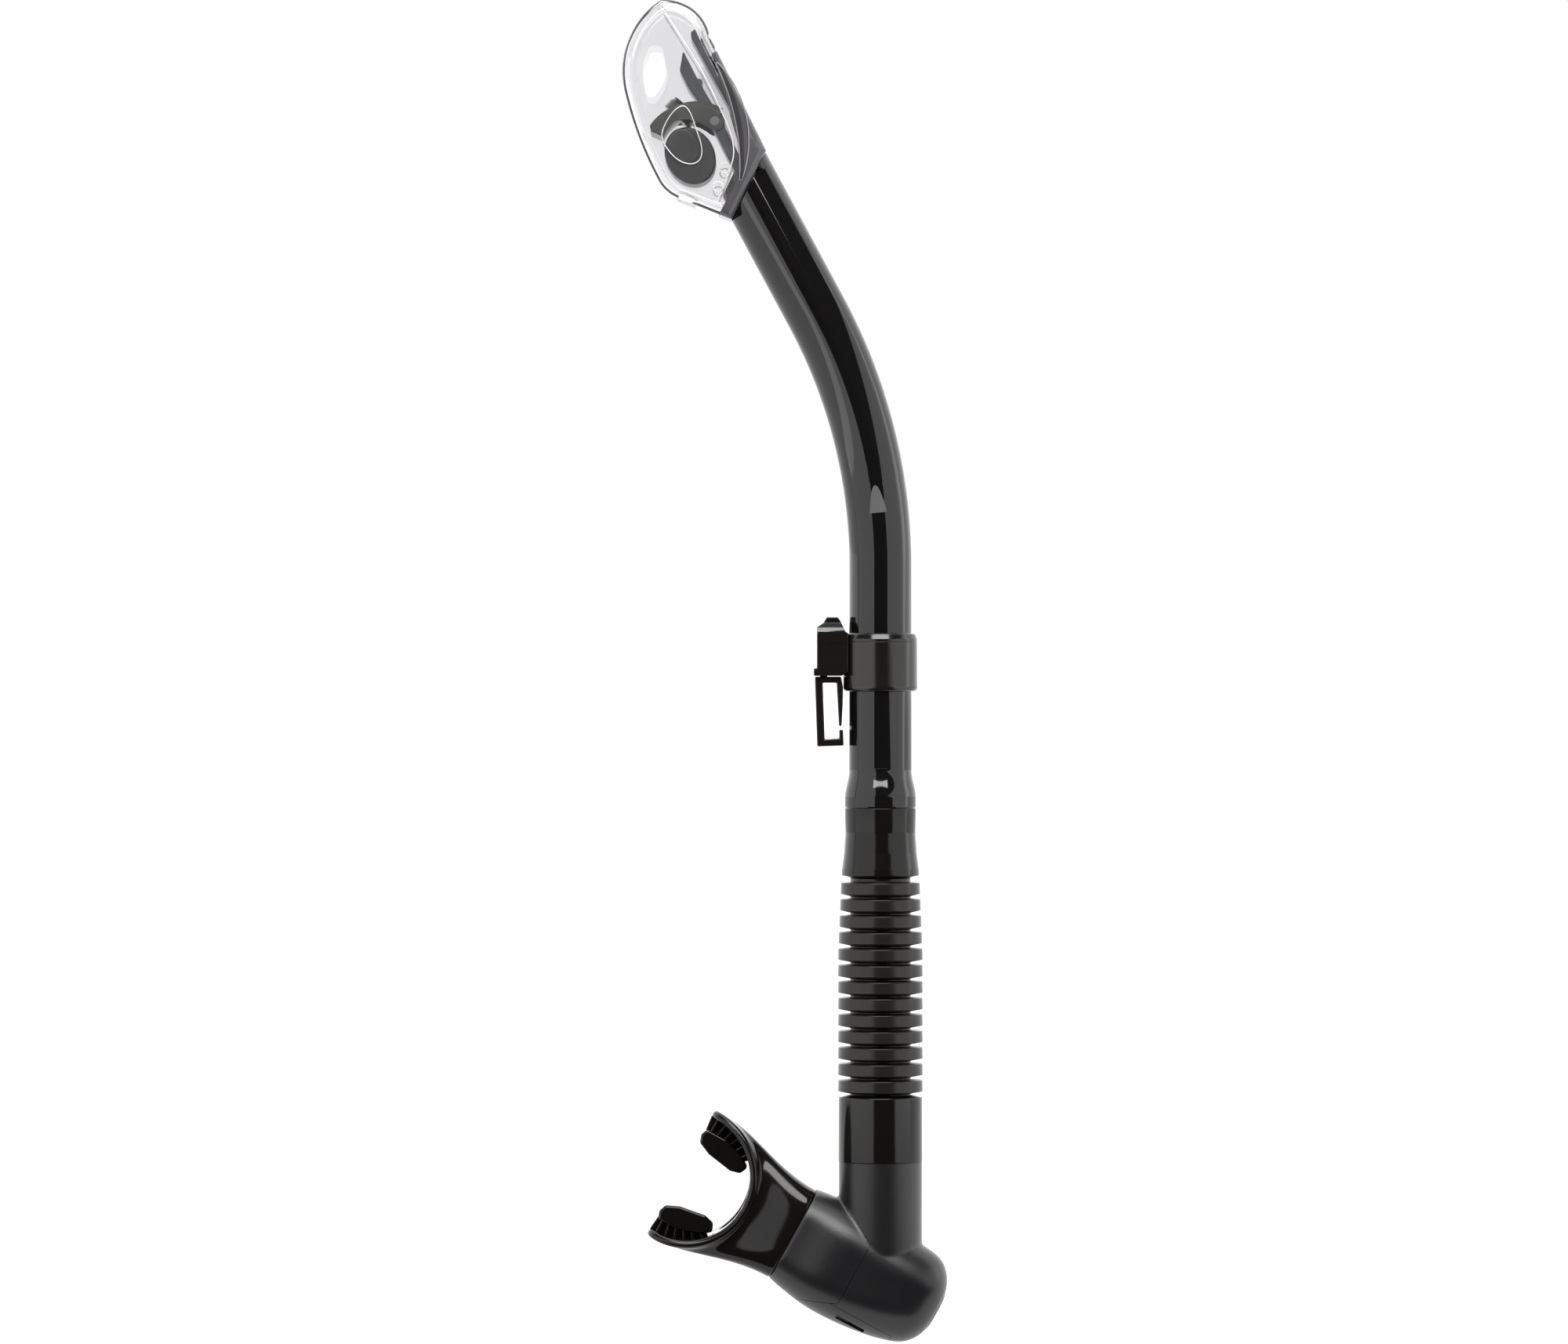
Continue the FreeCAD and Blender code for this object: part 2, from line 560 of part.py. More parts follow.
def strap_hook():
    """Open loop for the mask strap; its tongue plugs up into the receiver."""
    yoke = box(HOOK_LEFT, YOKE_RIGHT, -HOOK_HALF_Y, HOOK_HALF_Y, 9.5, HOOK_TOP_Z)
    tongue = box(-3.4, -0.8, -4.2, 4.2, 11.0, TONGUE_TOP_Z)
    left = box(HOOK_LEFT, -2.2, -HOOK_HALF_Y, HOOK_HALF_Y, HOOK_LOW_Z, 10.0)
    bottom = box(HOOK_LEFT, HOOK_RIGHT, -HOOK_HALF_Y, HOOK_HALF_Y, HOOK_LOW_Z, -9.8)
    gate_side = polygon([(2.3, 9.6), (YOKE_RIGHT, 9.6), (YOKE_RIGHT, 6.0), (HOOK_RIGHT, 4.8),
                         (HOOK_RIGHT, GATE_END_Z), (3.7, GATE_END_Z)])
    gate = slab(gate_side, -HOOK_HALF_Y, HOOK_HALF_Y)
    lip = box(3.5, HOOK_RIGHT, -HOOK_HALF_Y, HOOK_HALF_Y, -10.0, LIP_TOP_Z)
    return fused([yoke, tongue, left, bottom, gate, lip])


# ---------------------------------------------------------------- hose
def flex_hose():
    """Upper collar, ribbed middle and lower collar, moulded in one piece."""
    outline = [(12.7, HOSE_TOP_Z), (12.5, -36.5), (12.3, -41.0), (12.8, -48.0), (13.4, -54.0),
               (13.5, -56.8), (HOSE_CORE_R, -57.6)]
    for count in range(RING_COUNT):
        top = RING_FIRST_TOP_Z - count * RING_PITCH
        radius = RING_R_FIRST + (RING_R_LAST - RING_R_FIRST) * min(count / 4.0, 1.0)
        outline += [(HOSE_CORE_R, top + 0.5), (radius - 0.3, top), (radius, top - 0.3),
                    (radius, top - RING_HEIGHT), (HOSE_CORE_R, top - RING_HEIGHT - RING_SLOPE)]
    outline += [(HOSE_CORE_R, -132.2), (14.3, -132.9), (14.5, -133.4), (14.5, HOSE_LOW_Z)]
    inside = [(NECK_SPIGOT_R + 0.05, HOSE_LOW_Z), (NECK_SPIGOT_R + 0.05, -136.0), (HOSE_BORE_R, -134.5),
              (HOSE_BORE_R, COUPLING_LOW_Z - 1.0), (COUPLING_R + 0.06, COUPLING_LOW_Z - 0.4),
              (COUPLING_R + 0.06, -46.3), (COUPLING_R + 0.76, -45.7), (COUPLING_R + 0.76, -44.5),
              (COUPLING_R + 0.06, -43.9), (COUPLING_R + 0.06, HOSE_TOP_Z)]
    return turned(outline + inside, TUBE_X)


# ---------------------------------------------------------------- elbow
def neck_solid(radius, z0, z1):
    return from_mouth(upright(radius, TUBE_X, z0, z1))


def collar_region(grow=0.0):
    """The front part of the chamber that the collar shell covers, in side view."""
    low, high = COLLAR_LINE
    return slab(polygon([(-5, 40), (-5, -40), (low[0] - 1.0, -40), (low[0], low[1] - grow),
                         (high[0] + grow, high[1] - grow), (high[0] + grow, 40)]), -30, 30)


def chamber_inside():
    """Air space of the chamber: narrow under the collar, wider behind it."""
    rows = []
    for along, low, high, half_y, corner in CHAMBER:
        extra = 5.6 if along < 20 else 4.2 if along < 30 else 2.4
        rows.append((along, low + extra, high - extra, half_y - extra, max(corner - extra, 1.5)))
    rows[0] = (-1.0,) + rows[0][1:]
    rows[-1] = (CHAMBER[-1][0] - 2.4, -3.4, 3.6, 3.0, 1.6)
    return skin(rows)


def cover_region(grow=0.0):
    return box(COVER_FROM - grow, COVER_TO + grow, -30, 30, -30, COVER_TOP + grow)


def elbow_body():
    """Chamber behind the collar, the neck up to the hose, and the floor with the purge hole."""
    outer = skin(CHAMBER)
    back = outer.cut(collar_region(GAP)).cut(cover_region(GAP))
    front = skin(CHAMBER, SKIN + GAP).common(box(SKIRT_END + 0.2, 40, -30, 30, -30, 30))
    nose = skin(CHAMBER, 2 * SKIN + GAP).common(box(1.0, 12, -30, 30, -30, 30))
    floor_low, floor_high = COVER_TOP + GAP, COVER_TOP + 2.0
    floor = fused([
        skin(CHAMBER, 0.3).common(box(COLLAR_END + 1, COVER_TO + 2, -30, 30, floor_low, floor_high)),
        skin(CHAMBER, SKIN + 0.4).common(box(COVER_FROM, COLLAR_END + 2, -30, 30, floor_low, floor_high)),
    ])
    neck = neck_solid(NECK_R, -186.0, NECK_TOP_Z)
    spigot = neck_solid(NECK_SPIGOT_R, NECK_TOP_Z - 4, NECK_SPIGOT_TOP_Z)
    inside = chamber_inside().cut(box(8, 60, -30, 30, -30, COVER_TOP + 2.0))
    body = fused([back, fused([front, nose]).cut(cover_region(GAP)), neck.cut(skirt_room()), spigot])
    body = body.cut(inside).cut(neck_solid(NECK_BORE_R, -182.0, -130.0))
    body = fused([body, floor])
    hole = rod(PURGE_DISC_R + 2.2, V(PURGE_ALONG, 0, -30), V(0, 0, 1), 20)
    return at_mouth(body.cut(hole))


def skirt_room():
    """Where the mouthpiece skirt lies under the collar; the neck's root stays out of it."""
    return skin(CHAMBER, SKIN).common(box(-5, SKIRT_END + 0.2, -30, 30, -30, 30))


def collar_shell():
    """Sleeve that clamps the mouthpiece on the chamber's nose."""
    shell = skin(CHAMBER).cut(skin(CHAMBER, SKIN)).common(collar_region())
    shell = shell.common(box(0.05, COLLAR_END, -30, 30, -30, 30))
    return at_mouth(shell.cut(neck_solid(NECK_R + GAP, -200.0, -120.0)))


def purge_seat():
    """Spoked plate under the chamber floor; the silicone disc closes it from below."""
    top = COVER_TOP + 2.0
    plate = rod(PURGE_DISC_R + 2.1, V(0, 0, top - 1.8), V(0, 0, 1), 1.8)
    hub_hole = rod(1.3, V(0, 0, top - 5), V(0, 0, 1), 10)
    windows = []
    for quarter in range(4):
        window = ring_window(2.8, PURGE_DISC_R - 1.4, top - 4, top + 2)
        window.rotate(V(0, 0, 0), V(0, 0, 1), 90 * quarter)
        windows.append(window)
    plate = plate.cut(hub_hole)
    for window in windows:
        plate = plate.cut(window)
    plate.translate(V(PURGE_ALONG, 0, 0))
    return at_mouth(plate)


def ring_window(inner, outer, z0, z1):
    """A quarter of a ring, less the width of a spoke."""
    half_spoke = 0.7
    disc = rod(outer, V(0, 0, z0), V(0, 0, 1), z1 - z0)
    hub = rod(inner, V(0, 0, z0 - 1), V(0, 0, 1), z1 - z0 + 2)
    return disc.cut(hub).common(box(half_spoke, 30, half_spoke, 30, z0, z1))


def purge_disc():
    """Silicone mushroom valve: a thin disc on a stem with a retaining bulb."""
    seat_low = COVER_TOP + 0.2
    disc = rod(PURGE_DISC_R, V(0, 0, seat_low - 0.95), V(0, 0, 1), 0.9)
    stem = rod(1.2, V(0, 0, seat_low - 0.5), V(0, 0, 1), 4.2)
    bulb = Part.makeSphere(1.9, V(0, 0, seat_low + 5.2))
    valve = fused([disc, stem, bulb])
    valve.translate(V(PURGE_ALONG, 0, 0))
    return at_mouth(valve)


def purge_cover():
    """Belly cover with an exhaust port on each side and a rib that parts the two flows."""
    shell = skin(CHAMBER).common(cover_region()).cut(collar_region(GAP))
    inner = skin(CHAMBER, 1.8).common(box(COVER_FROM + 1.8, COVER_TO - 1.8, -30, 30, -30, COVER_TOP + 1))
    shell = shell.cut(inner)
    for side in (-1, 1):
        shell = shell.cut(box(PORT_FROM, PORT_TO, *sorted((side * 4.0, side * 30.0)), PORT_LOW, PORT_HIGH))
    disc_room = rod(PURGE_DISC_R + 0.5, V(PURGE_ALONG, 0, PORT_HIGH), V(0, 0, 1), 10.0)
    rib = box(PORT_FROM - 1.5, PORT_TO + 1.5, -0.6, 0.6, -30, PORT_HIGH).common(skin(CHAMBER, 0.9))
    return at_mouth(fused([shell.cut(disc_room), rib]))


# ---------------------------------------------------------------- mouthpiece
def mouthpiece():
    """Skirt under the collar, flared tube, lip shield and two bite lugs."""
    centre = (ARCH_CENTRE, 0.0)
    tube = skin([(0.0, -17.1, 17.1, 14.6, 9.0), (-8.0, -17.3, 17.4, 12.4, 9.0),
                 (-16.0, -18.9, 18.9, 10.6, 8.0), (-26.0, -22.0, 22.0, 10.0, 7.0)])
    arch = cross_rod(ARCH_R, centre[0], 0, -30, 30)
    tube = tube.cut(arch)
    shield = sector(centre, ARCH_R, ARCH_R + FLANGE_THICKNESS, -96, 96, -FLANGE_HALF_Y, FLANGE_HALF_Y)
    skirt_outer = skin(CHAMBER, SKIN + GAP).common(box(-0.5, SKIRT_END, -30, 30, -30, 30))
    skirt = skirt_outer.cut(skin(CHAMBER, 2 * SKIN - GAP / 2).common(box(0.9, 20, -30, 30, -30, 30)))
    parts = [tube, shield, skirt]
    for side in (-1, 1):
        start, end = sorted((side * 44, side * 93))
        parts.append(sector(centre, LUG_INNER_R + 1, ARCH_R + 1, start, end, -2.2, 2.2))
        parts.append(sector(centre, LUG_INNER_R, LUG_INNER_R + 2.4, start, end, -6.0, 6.0))
    bore = skin([(3.0, -12.0, 12.0, 9.4, 5.0), (-6.0, -12.0, 12.0, 8.6, 5.0),
                 (-24.0, -11.6, 11.6, 6.6, 4.0)])
    return at_mouth(fused(parts).cut(bore))


# ---------------------------------------------------------------- write
NODES = [
    barrel_tube, hose_coupling, inlet_housing, inlet_duct, splash_cap, cap_latch, float_pins,
    float_lever, float_body, float_end_caps, valve_seal,
    keeper_band, clip_receiver, release_tab, strap_hook,
    flex_hose, elbow_body, collar_shell, purge_seat, purge_disc, purge_cover, mouthpiece,
]

os.makedirs("parts", exist_ok=True)
for make in NODES:
    solid = make()
    solid.exportStep("parts/" + make.__name__ + ".step")
    print(make.__name__, len(solid.Solids), "solids, valid", solid.isValid(), round(solid.Volume), "mm3")
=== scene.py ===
"""Looks of the dry-top snorkel: detailed pieces, materials, studio light and camera.

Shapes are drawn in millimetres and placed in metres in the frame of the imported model.
"""

import json
import math

import bmesh
import bpy
from mathutils import Matrix, Vector


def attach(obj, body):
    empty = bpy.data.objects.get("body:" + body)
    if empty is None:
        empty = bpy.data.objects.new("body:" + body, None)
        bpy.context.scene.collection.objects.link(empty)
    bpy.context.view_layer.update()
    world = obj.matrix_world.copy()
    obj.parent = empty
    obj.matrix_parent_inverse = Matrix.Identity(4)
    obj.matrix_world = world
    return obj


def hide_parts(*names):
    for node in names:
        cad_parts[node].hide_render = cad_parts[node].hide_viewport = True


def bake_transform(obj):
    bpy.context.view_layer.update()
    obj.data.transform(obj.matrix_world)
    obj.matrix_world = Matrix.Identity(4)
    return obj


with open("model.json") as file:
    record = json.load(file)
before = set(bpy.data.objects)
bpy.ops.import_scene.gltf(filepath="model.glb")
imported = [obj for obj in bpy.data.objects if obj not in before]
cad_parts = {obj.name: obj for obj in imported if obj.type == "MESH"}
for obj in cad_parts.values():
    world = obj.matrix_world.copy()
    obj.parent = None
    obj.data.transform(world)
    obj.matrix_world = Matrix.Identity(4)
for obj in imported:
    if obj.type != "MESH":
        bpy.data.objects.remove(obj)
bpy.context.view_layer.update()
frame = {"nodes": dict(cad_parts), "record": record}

MM = 0.001

# ---------------------------------------------------------------- sizes, mm
# They follow the CAD model where a piece has to fit it. The flare's bell, the band and the hose's
# upper collar are drawn a little slimmer than in the CAD model, and the chamber has rounder corners.
TUBE_X = 17.5
TUBE_R = 10.8
BORE_R = 9.2
BELL_END_Z = -33.5
BELL_R = 12.3
BELL_BORE_R = 11.0
BEND_START_Z = 49.9
BEND_RADIUS = 183.9
BEND_ANGLE = math.radians(28.3)
SPIGOT_R = 9.7
SPIGOT_BORE_R = 8.5
SPIGOT_LENGTH = 8.0
SEAM_MIDDLE = 49.0
SEAM_SLOPE = 15.2 / 21.6
KEY_FLAT_LOW_Z = -20.0
FLARE_TOP_Z = -20.4
FLARE_LOW_Z = -29.9
KEY_FLAT_TOP_Z = 67.8
KEY_RAMP_TOP_Z = 77.2
KEY_FLAT_DEPTH = 0.24
KEY_RAMP_DEPTH = 0.42
KEY_COLUMNS = 10
ARC_COLUMNS = 150
PLAIN_HALF_WIDTH = 2.264
RAMP_TIP_HALF_WIDTH = 0.12
RAMP_FADE_TURN = 0.05
SPIGOT_FOOT = 36.0
BELL_BORE_TOP_Z = -27.5

TOP_HALF_Y = 14.0
TOP_WALL = 1.5
TOP_ROUNDING = 3.4
HOLLOW_ROUNDING = 2.6
SOCKET_R = SPIGOT_R + 1.9
HOLE_GROWTH = 0.8
HOUSING_EDGE = [(9.6, 90.0), (3.6, 61.6), (-1.0, 53.5), (-14.4, 44.6)]
FLOAT_CENTRE = (-13.0, 67.4)
FLOAT_HALF = (8.4, 10.2)
FLOAT_HALF_Y = 9.0

BAND_R = 12.75
BAND_LOW_Z = 6.5
BAND_HIGH_Z = 26.5
BAND_LINE_Z = 23.6
CLIP_TOP_Z = 30.2
CLIP_RIGHT_X = 6.4

HOSE_TOP_Z = -33.6
HOSE_LOW_Z = -155.2
HOSE_CORE_R = 10.4
RING_COUNT = 13
RING_FIRST_TOP_Z = -59.3
RING_PITCH = 5.66
RINGS_TOP_Z = -58.0
RINGS_LOW_Z = -132.0
COLLAR_BORE_R = 12.25
HOSE_BORE_R = 9.1
COUPLING_FIT_R = 10.46

NECK_R = 14.3
NECK_TOP_Z = -155.3
NECK_BORE_R = 10.6
MOUTH_SEAM = (-12.83, 0.0, -179.96)
MOUTH_TILT = math.radians(28.8)
SEAM_HALF_Y = 12.4
# Chamber sections along the mouth axis: (along, low, high, half width, corner radius)
CHAMBER = [
    (0.0, -17.1, 17.1, SEAM_HALF_Y, 10.6),
    (5.0, -18.3, 17.9, 13.1, 11.6),
    (15.0, -19.8, 18.5, 14.8, 13.2),
    (24.7, -19.9, 18.6, 14.9, 13.4),
    (38.0, -18.5, 18.2, 14.9, 13.4),
    (47.0, -16.3, 17.4, 14.0, 12.6),
    (51.4, -14.2, 15.4, 12.4, 11.2),
    (54.9, -10.2, 10.9, 8.9, 8.0),
    (56.6, -5.6, 5.8, 5.2, 4.6),
]
COLLAR_LINE = [(11.7, -18.7), (24.7, -12.9)]
COVER_FROM = 10.9
COVER_TO = 46.5
COVER_TOP = -14.2
PURGE_ALONG = 30.5
PURGE_HOLE_R = 11.8
DISC_ROOM_R = 9.75
PORT_LOW = -17.9
PORT_HIGH = -16.6
ELBOW_WALL = 2.4
COVER_WALL = 1.8
SEAM_GAP = 0.15
ARCH_CENTRE = -41.5
FLANGE_INNER_R = 21.8
FLANGE_OUTER_R = 24.6


def bend_point(turn, radius=0.0):
    """Point of the barrel's axis in the bend, moved across by a radius."""
    x = TUBE_X - BEND_RADIUS * (1 - math.cos(turn)) + radius * math.cos(turn)
    z = BEND_START_Z + BEND_RADIUS * math.sin(turn) + radius * math.sin(turn)
    return x, z


TOP_FRAME = (Matrix.Translation((bend_point(BEND_ANGLE)[0], 0, bend_point(BEND_ANGLE)[1]))
             @ Matrix.Rotation(-BEND_ANGLE, 4, "Y"))
MOUTH_FRAME = Matrix.Translation(MOUTH_SEAM) @ Matrix.Rotation(MOUTH_TILT, 4, "Y")


# ---------------------------------------------------------------- mesh helpers
def new_object(name, points, faces):
    mesh = bpy.data.meshes.new(name)
    mesh.from_pydata([tuple(p) for p in points], [], faces)
    work = bmesh.new()
    work.from_mesh(mesh)
    bmesh.ops.recalc_face_normals(work, faces=work.faces)
    work.to_mesh(mesh)
    work.free()
    ob = bpy.data.objects.new(name, mesh)
    bpy.context.scene.collection.objects.link(ob)
    return ob


def apply_modifiers(ob):
    graph = bpy.context.evaluated_depsgraph_get()
    mesh = bpy.data.meshes.new_from_object(ob.evaluated_get(graph))
    ob.modifiers.clear()
    old = ob.data
    ob.data = mesh
    bpy.data.meshes.remove(old)
    return ob


def loft(name, rings, closed=False):
    """Skin through rings of equal count; a closed loft joins the last ring to the first."""
    count = len(rings[0])
    points = [p for ring in rings for p in ring]
    faces = []
    last = len(rings) if closed else len(rings) - 1
    for row in range(last):
        here = row * count
        there = (row + 1) % len(rings) * count
        for k in range(count):
            nxt = (k + 1) % count
            faces.append((here + k, here + nxt, there + nxt, there + k))
    if not closed:
        faces.append(tuple(range(count)))
        faces.append(tuple(range(len(points) - count, len(points))))
    return new_object(name, points, faces)


def lathe(name, profile, steps=160):
    """Closed profile of (radius, z) turned about the tube's lower axis."""
    rings = []
    for radius, z in profile:
        ring = []
        for k in range(steps):
            turn = 2 * math.pi * k / steps
            ring.append((TUBE_X + radius * math.cos(turn), radius * math.sin(turn), z))
        rings.append(ring)
    return loft(name, rings, closed=True)


def filleted(corners, steps=5):
    """Rounds the corners of a closed outline of (a, b, radius); two corners share their side by radius."""
    result = []
    for i, (a, b, radius) in enumerate(corners):
        previous, following = corners[i - 1], corners[(i + 1) % len(corners)]
        here = Vector((a, b))
        before = Vector(previous[:2]) - here
        after = Vector(following[:2]) - here
        if radius <= 0:
            result.append((a, b))
            continue
        half = before.angle(after) / 2
        reach = min(radius / math.tan(half), 0.98 * before.length * radius / (radius + previous[2]),
                    0.98 * after.length * radius / (radius + following[2]))
        start = here + before.normalized() * reach
        end = here + after.normalized() * reach
        for k in range(steps + 1):
            t = k / steps
            point = start * (1 - t) ** 2 + here * (2 * t * (1 - t)) + end * t * t
            result.append((point.x, point.y))
    return result


def prism(name, outline, y0, y1, bevel=0.0, steps=3):
    """Outline of (a, b) in the XZ plane drawn out in y, with rounded edges."""
    count = len(outline)
    points = [(a, y0, b) for a, b in outline] + [(a, y1, b) for a, b in outline]
    faces = [tuple(range(count)), tuple(range(2 * count - 1, count - 1, -1))]
    for k in range(count):
        nxt = (k + 1) % count
        faces.append((k, nxt, nxt + count, k + count))
    ob = new_object(name, points, faces)
    if bevel:
        edge = ob.modifiers.new("edge", "BEVEL")
        edge.width = bevel
        edge.segments = steps
        edge.limit_method = "ANGLE"
        edge.angle_limit = math.radians(35)
        apply_modifiers(ob)
    return ob


def block(x0, x1, y0, y1, z0, z1, bevel=0.0):
    return prism("block", [(x0, z0), (x1, z0), (x1, z1), (x0, z1)], y0, y1, bevel)


def rod(name, radius, centre, y0, y1, bevel=0.0, steps=48):
    """Round rod across the object, centred at (a, b)."""
    outline = [polar(centre, radius, 360 * k / steps) for k in range(steps)]
    return prism(name, outline, y0, y1, bevel)


def upright(name, radius, x, low, high, steps):
    """Round rod along z, centred at x."""
    turns = [2 * math.pi * k / steps for k in range(steps)]
    rings = [[(x + radius * math.cos(turn), radius * math.sin(turn), z) for turn in turns]
             for z in (low, high)]
    return loft(name, rings)


def polar(centre, radius, degrees):
    turn = math.radians(degrees)
    return (centre[0] + radius * math.cos(turn), centre[1] + radius * math.sin(turn))


def arc(centre, radius, start, end, steps=24):
    return [polar(centre, radius, start + (end - start) * k / steps) for k in range(steps + 1)]


def arc_through(a, b, c, steps=12):
    """Points of the circular arc through three points, without the last one."""
    (ax, ay), (bx, by), (cx, cy) = a, b, c
    d = 2 * (ax * (by - cy) + bx * (cy - ay) + cx * (ay - by))
    aa, bb, cc = ax * ax + ay * ay, bx * bx + by * by, cx * cx + cy * cy
    ux = (aa * (by - cy) + bb * (cy - ay) + cc * (ay - by)) / d
    uy = (aa * (cx - bx) + bb * (ax - cx) + cc * (bx - ax)) / d
    radius = math.hypot(ax - ux, ay - uy)
    start = math.atan2(ay - uy, ax - ux)
    middle = math.atan2(by - uy, bx - ux)
    end = math.atan2(cy - uy, cx - ux)
    full = 2 * math.pi
    sweep = (end - start) % full
    if (middle - start) % full > sweep:
        sweep -= full
    return [(ux + radius * math.cos(start + sweep * k / steps),
             uy + radius * math.sin(start + sweep * k / steps)) for k in range(steps)]


def inset(outline, distance):
    """Closed outline moved inwards; a negative distance moves it outwards."""
    area = sum(outline[i - 1][0] * outline[i][1] - outline[i][0] * outline[i - 1][1]
               for i in range(len(outline)))
    side = math.copysign(distance, area)
    moved = []
    for i, (a, b) in enumerate(outline):
        before = Vector(outline[i - 1])
        after = Vector(outline[(i + 1) % len(outline)])
        here = Vector((a, b))
        first = (here - before).normalized()
        second = (after - here).normalized()
        normal = Vector((-(first.y + second.y), first.x + second.x)).normalized()
        stretch = max(normal.dot(Vector((-first.y, first.x))), 0.5)
        moved.append(tuple(here + normal * (side / stretch)))
    return moved


def join(name, objects):
    """One object of several meshes."""
    work = bmesh.new()
    for ob in objects:
        work.from_mesh(ob.data)
    mesh = bpy.data.meshes.new(name)
    work.to_mesh(mesh)
    work.free()
    for ob in objects:
        bpy.data.objects.remove(ob)
    joined = bpy.data.objects.new(name, mesh)
    bpy.context.scene.collection.objects.link(joined)
    return joined


def boolean(ob, operation, tools):
    """Applies the tools one by one and removes them."""
    for tool in tools:
        step = ob.modifiers.new("boolean", "BOOLEAN")
        step.operation = operation
        step.solver = "EXACT"
        step.object = tool
        apply_modifiers(ob)
    for tool in tools:
        bpy.data.objects.remove(tool)
    return ob


def copy_of(ob, name):
    twin = bpy.data.objects.new(name, ob.data.copy())
    bpy.context.scene.collection.objects.link(twin)
    return twin


def finish_piece(ob, name, body, material, nodes=(), place=None, crease=32):
    """Puts a piece drawn in millimetres into the frame, with its material and its body."""
    ob.name = name
    ob.data.name = name
    ob.data.transform(Matrix.Scale(MM, 4) @ (place or Matrix.Identity(4)))
    ob.data.polygons.foreach_set("use_smooth", [True] * len(ob.data.polygons))
    ob.data.set_sharp_from_angle(angle=math.radians(crease))
    if not ob.data.materials:
        ob.data.materials.append(MATERIALS[material])
    even = ob.modifiers.new("even", "WEIGHTED_NORMAL")
    even.keep_sharp = True
    apply_modifiers(ob)
    if body:
        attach(ob, body)
    if nodes:
        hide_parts(*nodes)
    return ob


# ---------------------------------------------------------------- materials
def surface(name, colour, roughness, variation=0.06, spot=60.0, grain=1500.0, bump=0.02,
            metallic=0.0, transmission=0.0, ior=1.5, rough_swing=0.05):
    """Moulded surface: slow colour drift, uneven gloss and a fine grain in the normal."""
    material = bpy.data.materials.new(name)
    material.use_nodes = True
    tree = material.node_tree
    shader = tree.nodes["Principled BSDF"]
    shader.inputs["Metallic"].default_value = metallic
    shader.inputs["Transmission Weight"].default_value = transmission
    shader.inputs["IOR"].default_value = ior
    place = tree.nodes.new("ShaderNodeTexCoord")

    drift = tree.nodes.new("ShaderNodeTexNoise")
    drift.inputs["Scale"].default_value = spot
    drift.inputs["Detail"].default_value = 4.0
    tree.links.new(place.outputs["Object"], drift.inputs["Vector"])
    tones = tree.nodes.new("ShaderNodeValToRGB")
    low = [c * (1 - variation) for c in colour]
    high = [min(c * (1 + variation), 1.0) for c in colour]
    tones.color_ramp.elements[0].position = 0.3
    tones.color_ramp.elements[0].color = (*low, 1)
    tones.color_ramp.elements[1].position = 0.7
    tones.color_ramp.elements[1].color = (*high, 1)
    tree.links.new(drift.outputs["Fac"], tones.inputs["Fac"])
    tree.links.new(tones.outputs["Color"], shader.inputs["Base Color"])

    gloss = tree.nodes.new("ShaderNodeMapRange")
    gloss.inputs["To Min"].default_value = max(roughness - rough_swing, 0.01)
    gloss.inputs["To Max"].default_value = roughness + rough_swing
    tree.links.new(drift.outputs["Fac"], gloss.inputs["Value"])
    tree.links.new(gloss.outputs["Result"], shader.inputs["Roughness"])

    fine = tree.nodes.new("ShaderNodeTexNoise")
    fine.inputs["Scale"].default_value = grain
    fine.inputs["Detail"].default_value = 3.0
    tree.links.new(place.outputs["Object"], fine.inputs["Vector"])
    relief = tree.nodes.new("ShaderNodeBump")
    relief.inputs["Strength"].default_value = bump
    relief.inputs["Distance"].default_value = 0.0002
    tree.links.new(fine.outputs["Fac"], relief.inputs["Height"])
    tree.links.new(relief.outputs["Normal"], shader.inputs["Normal"])
    return material


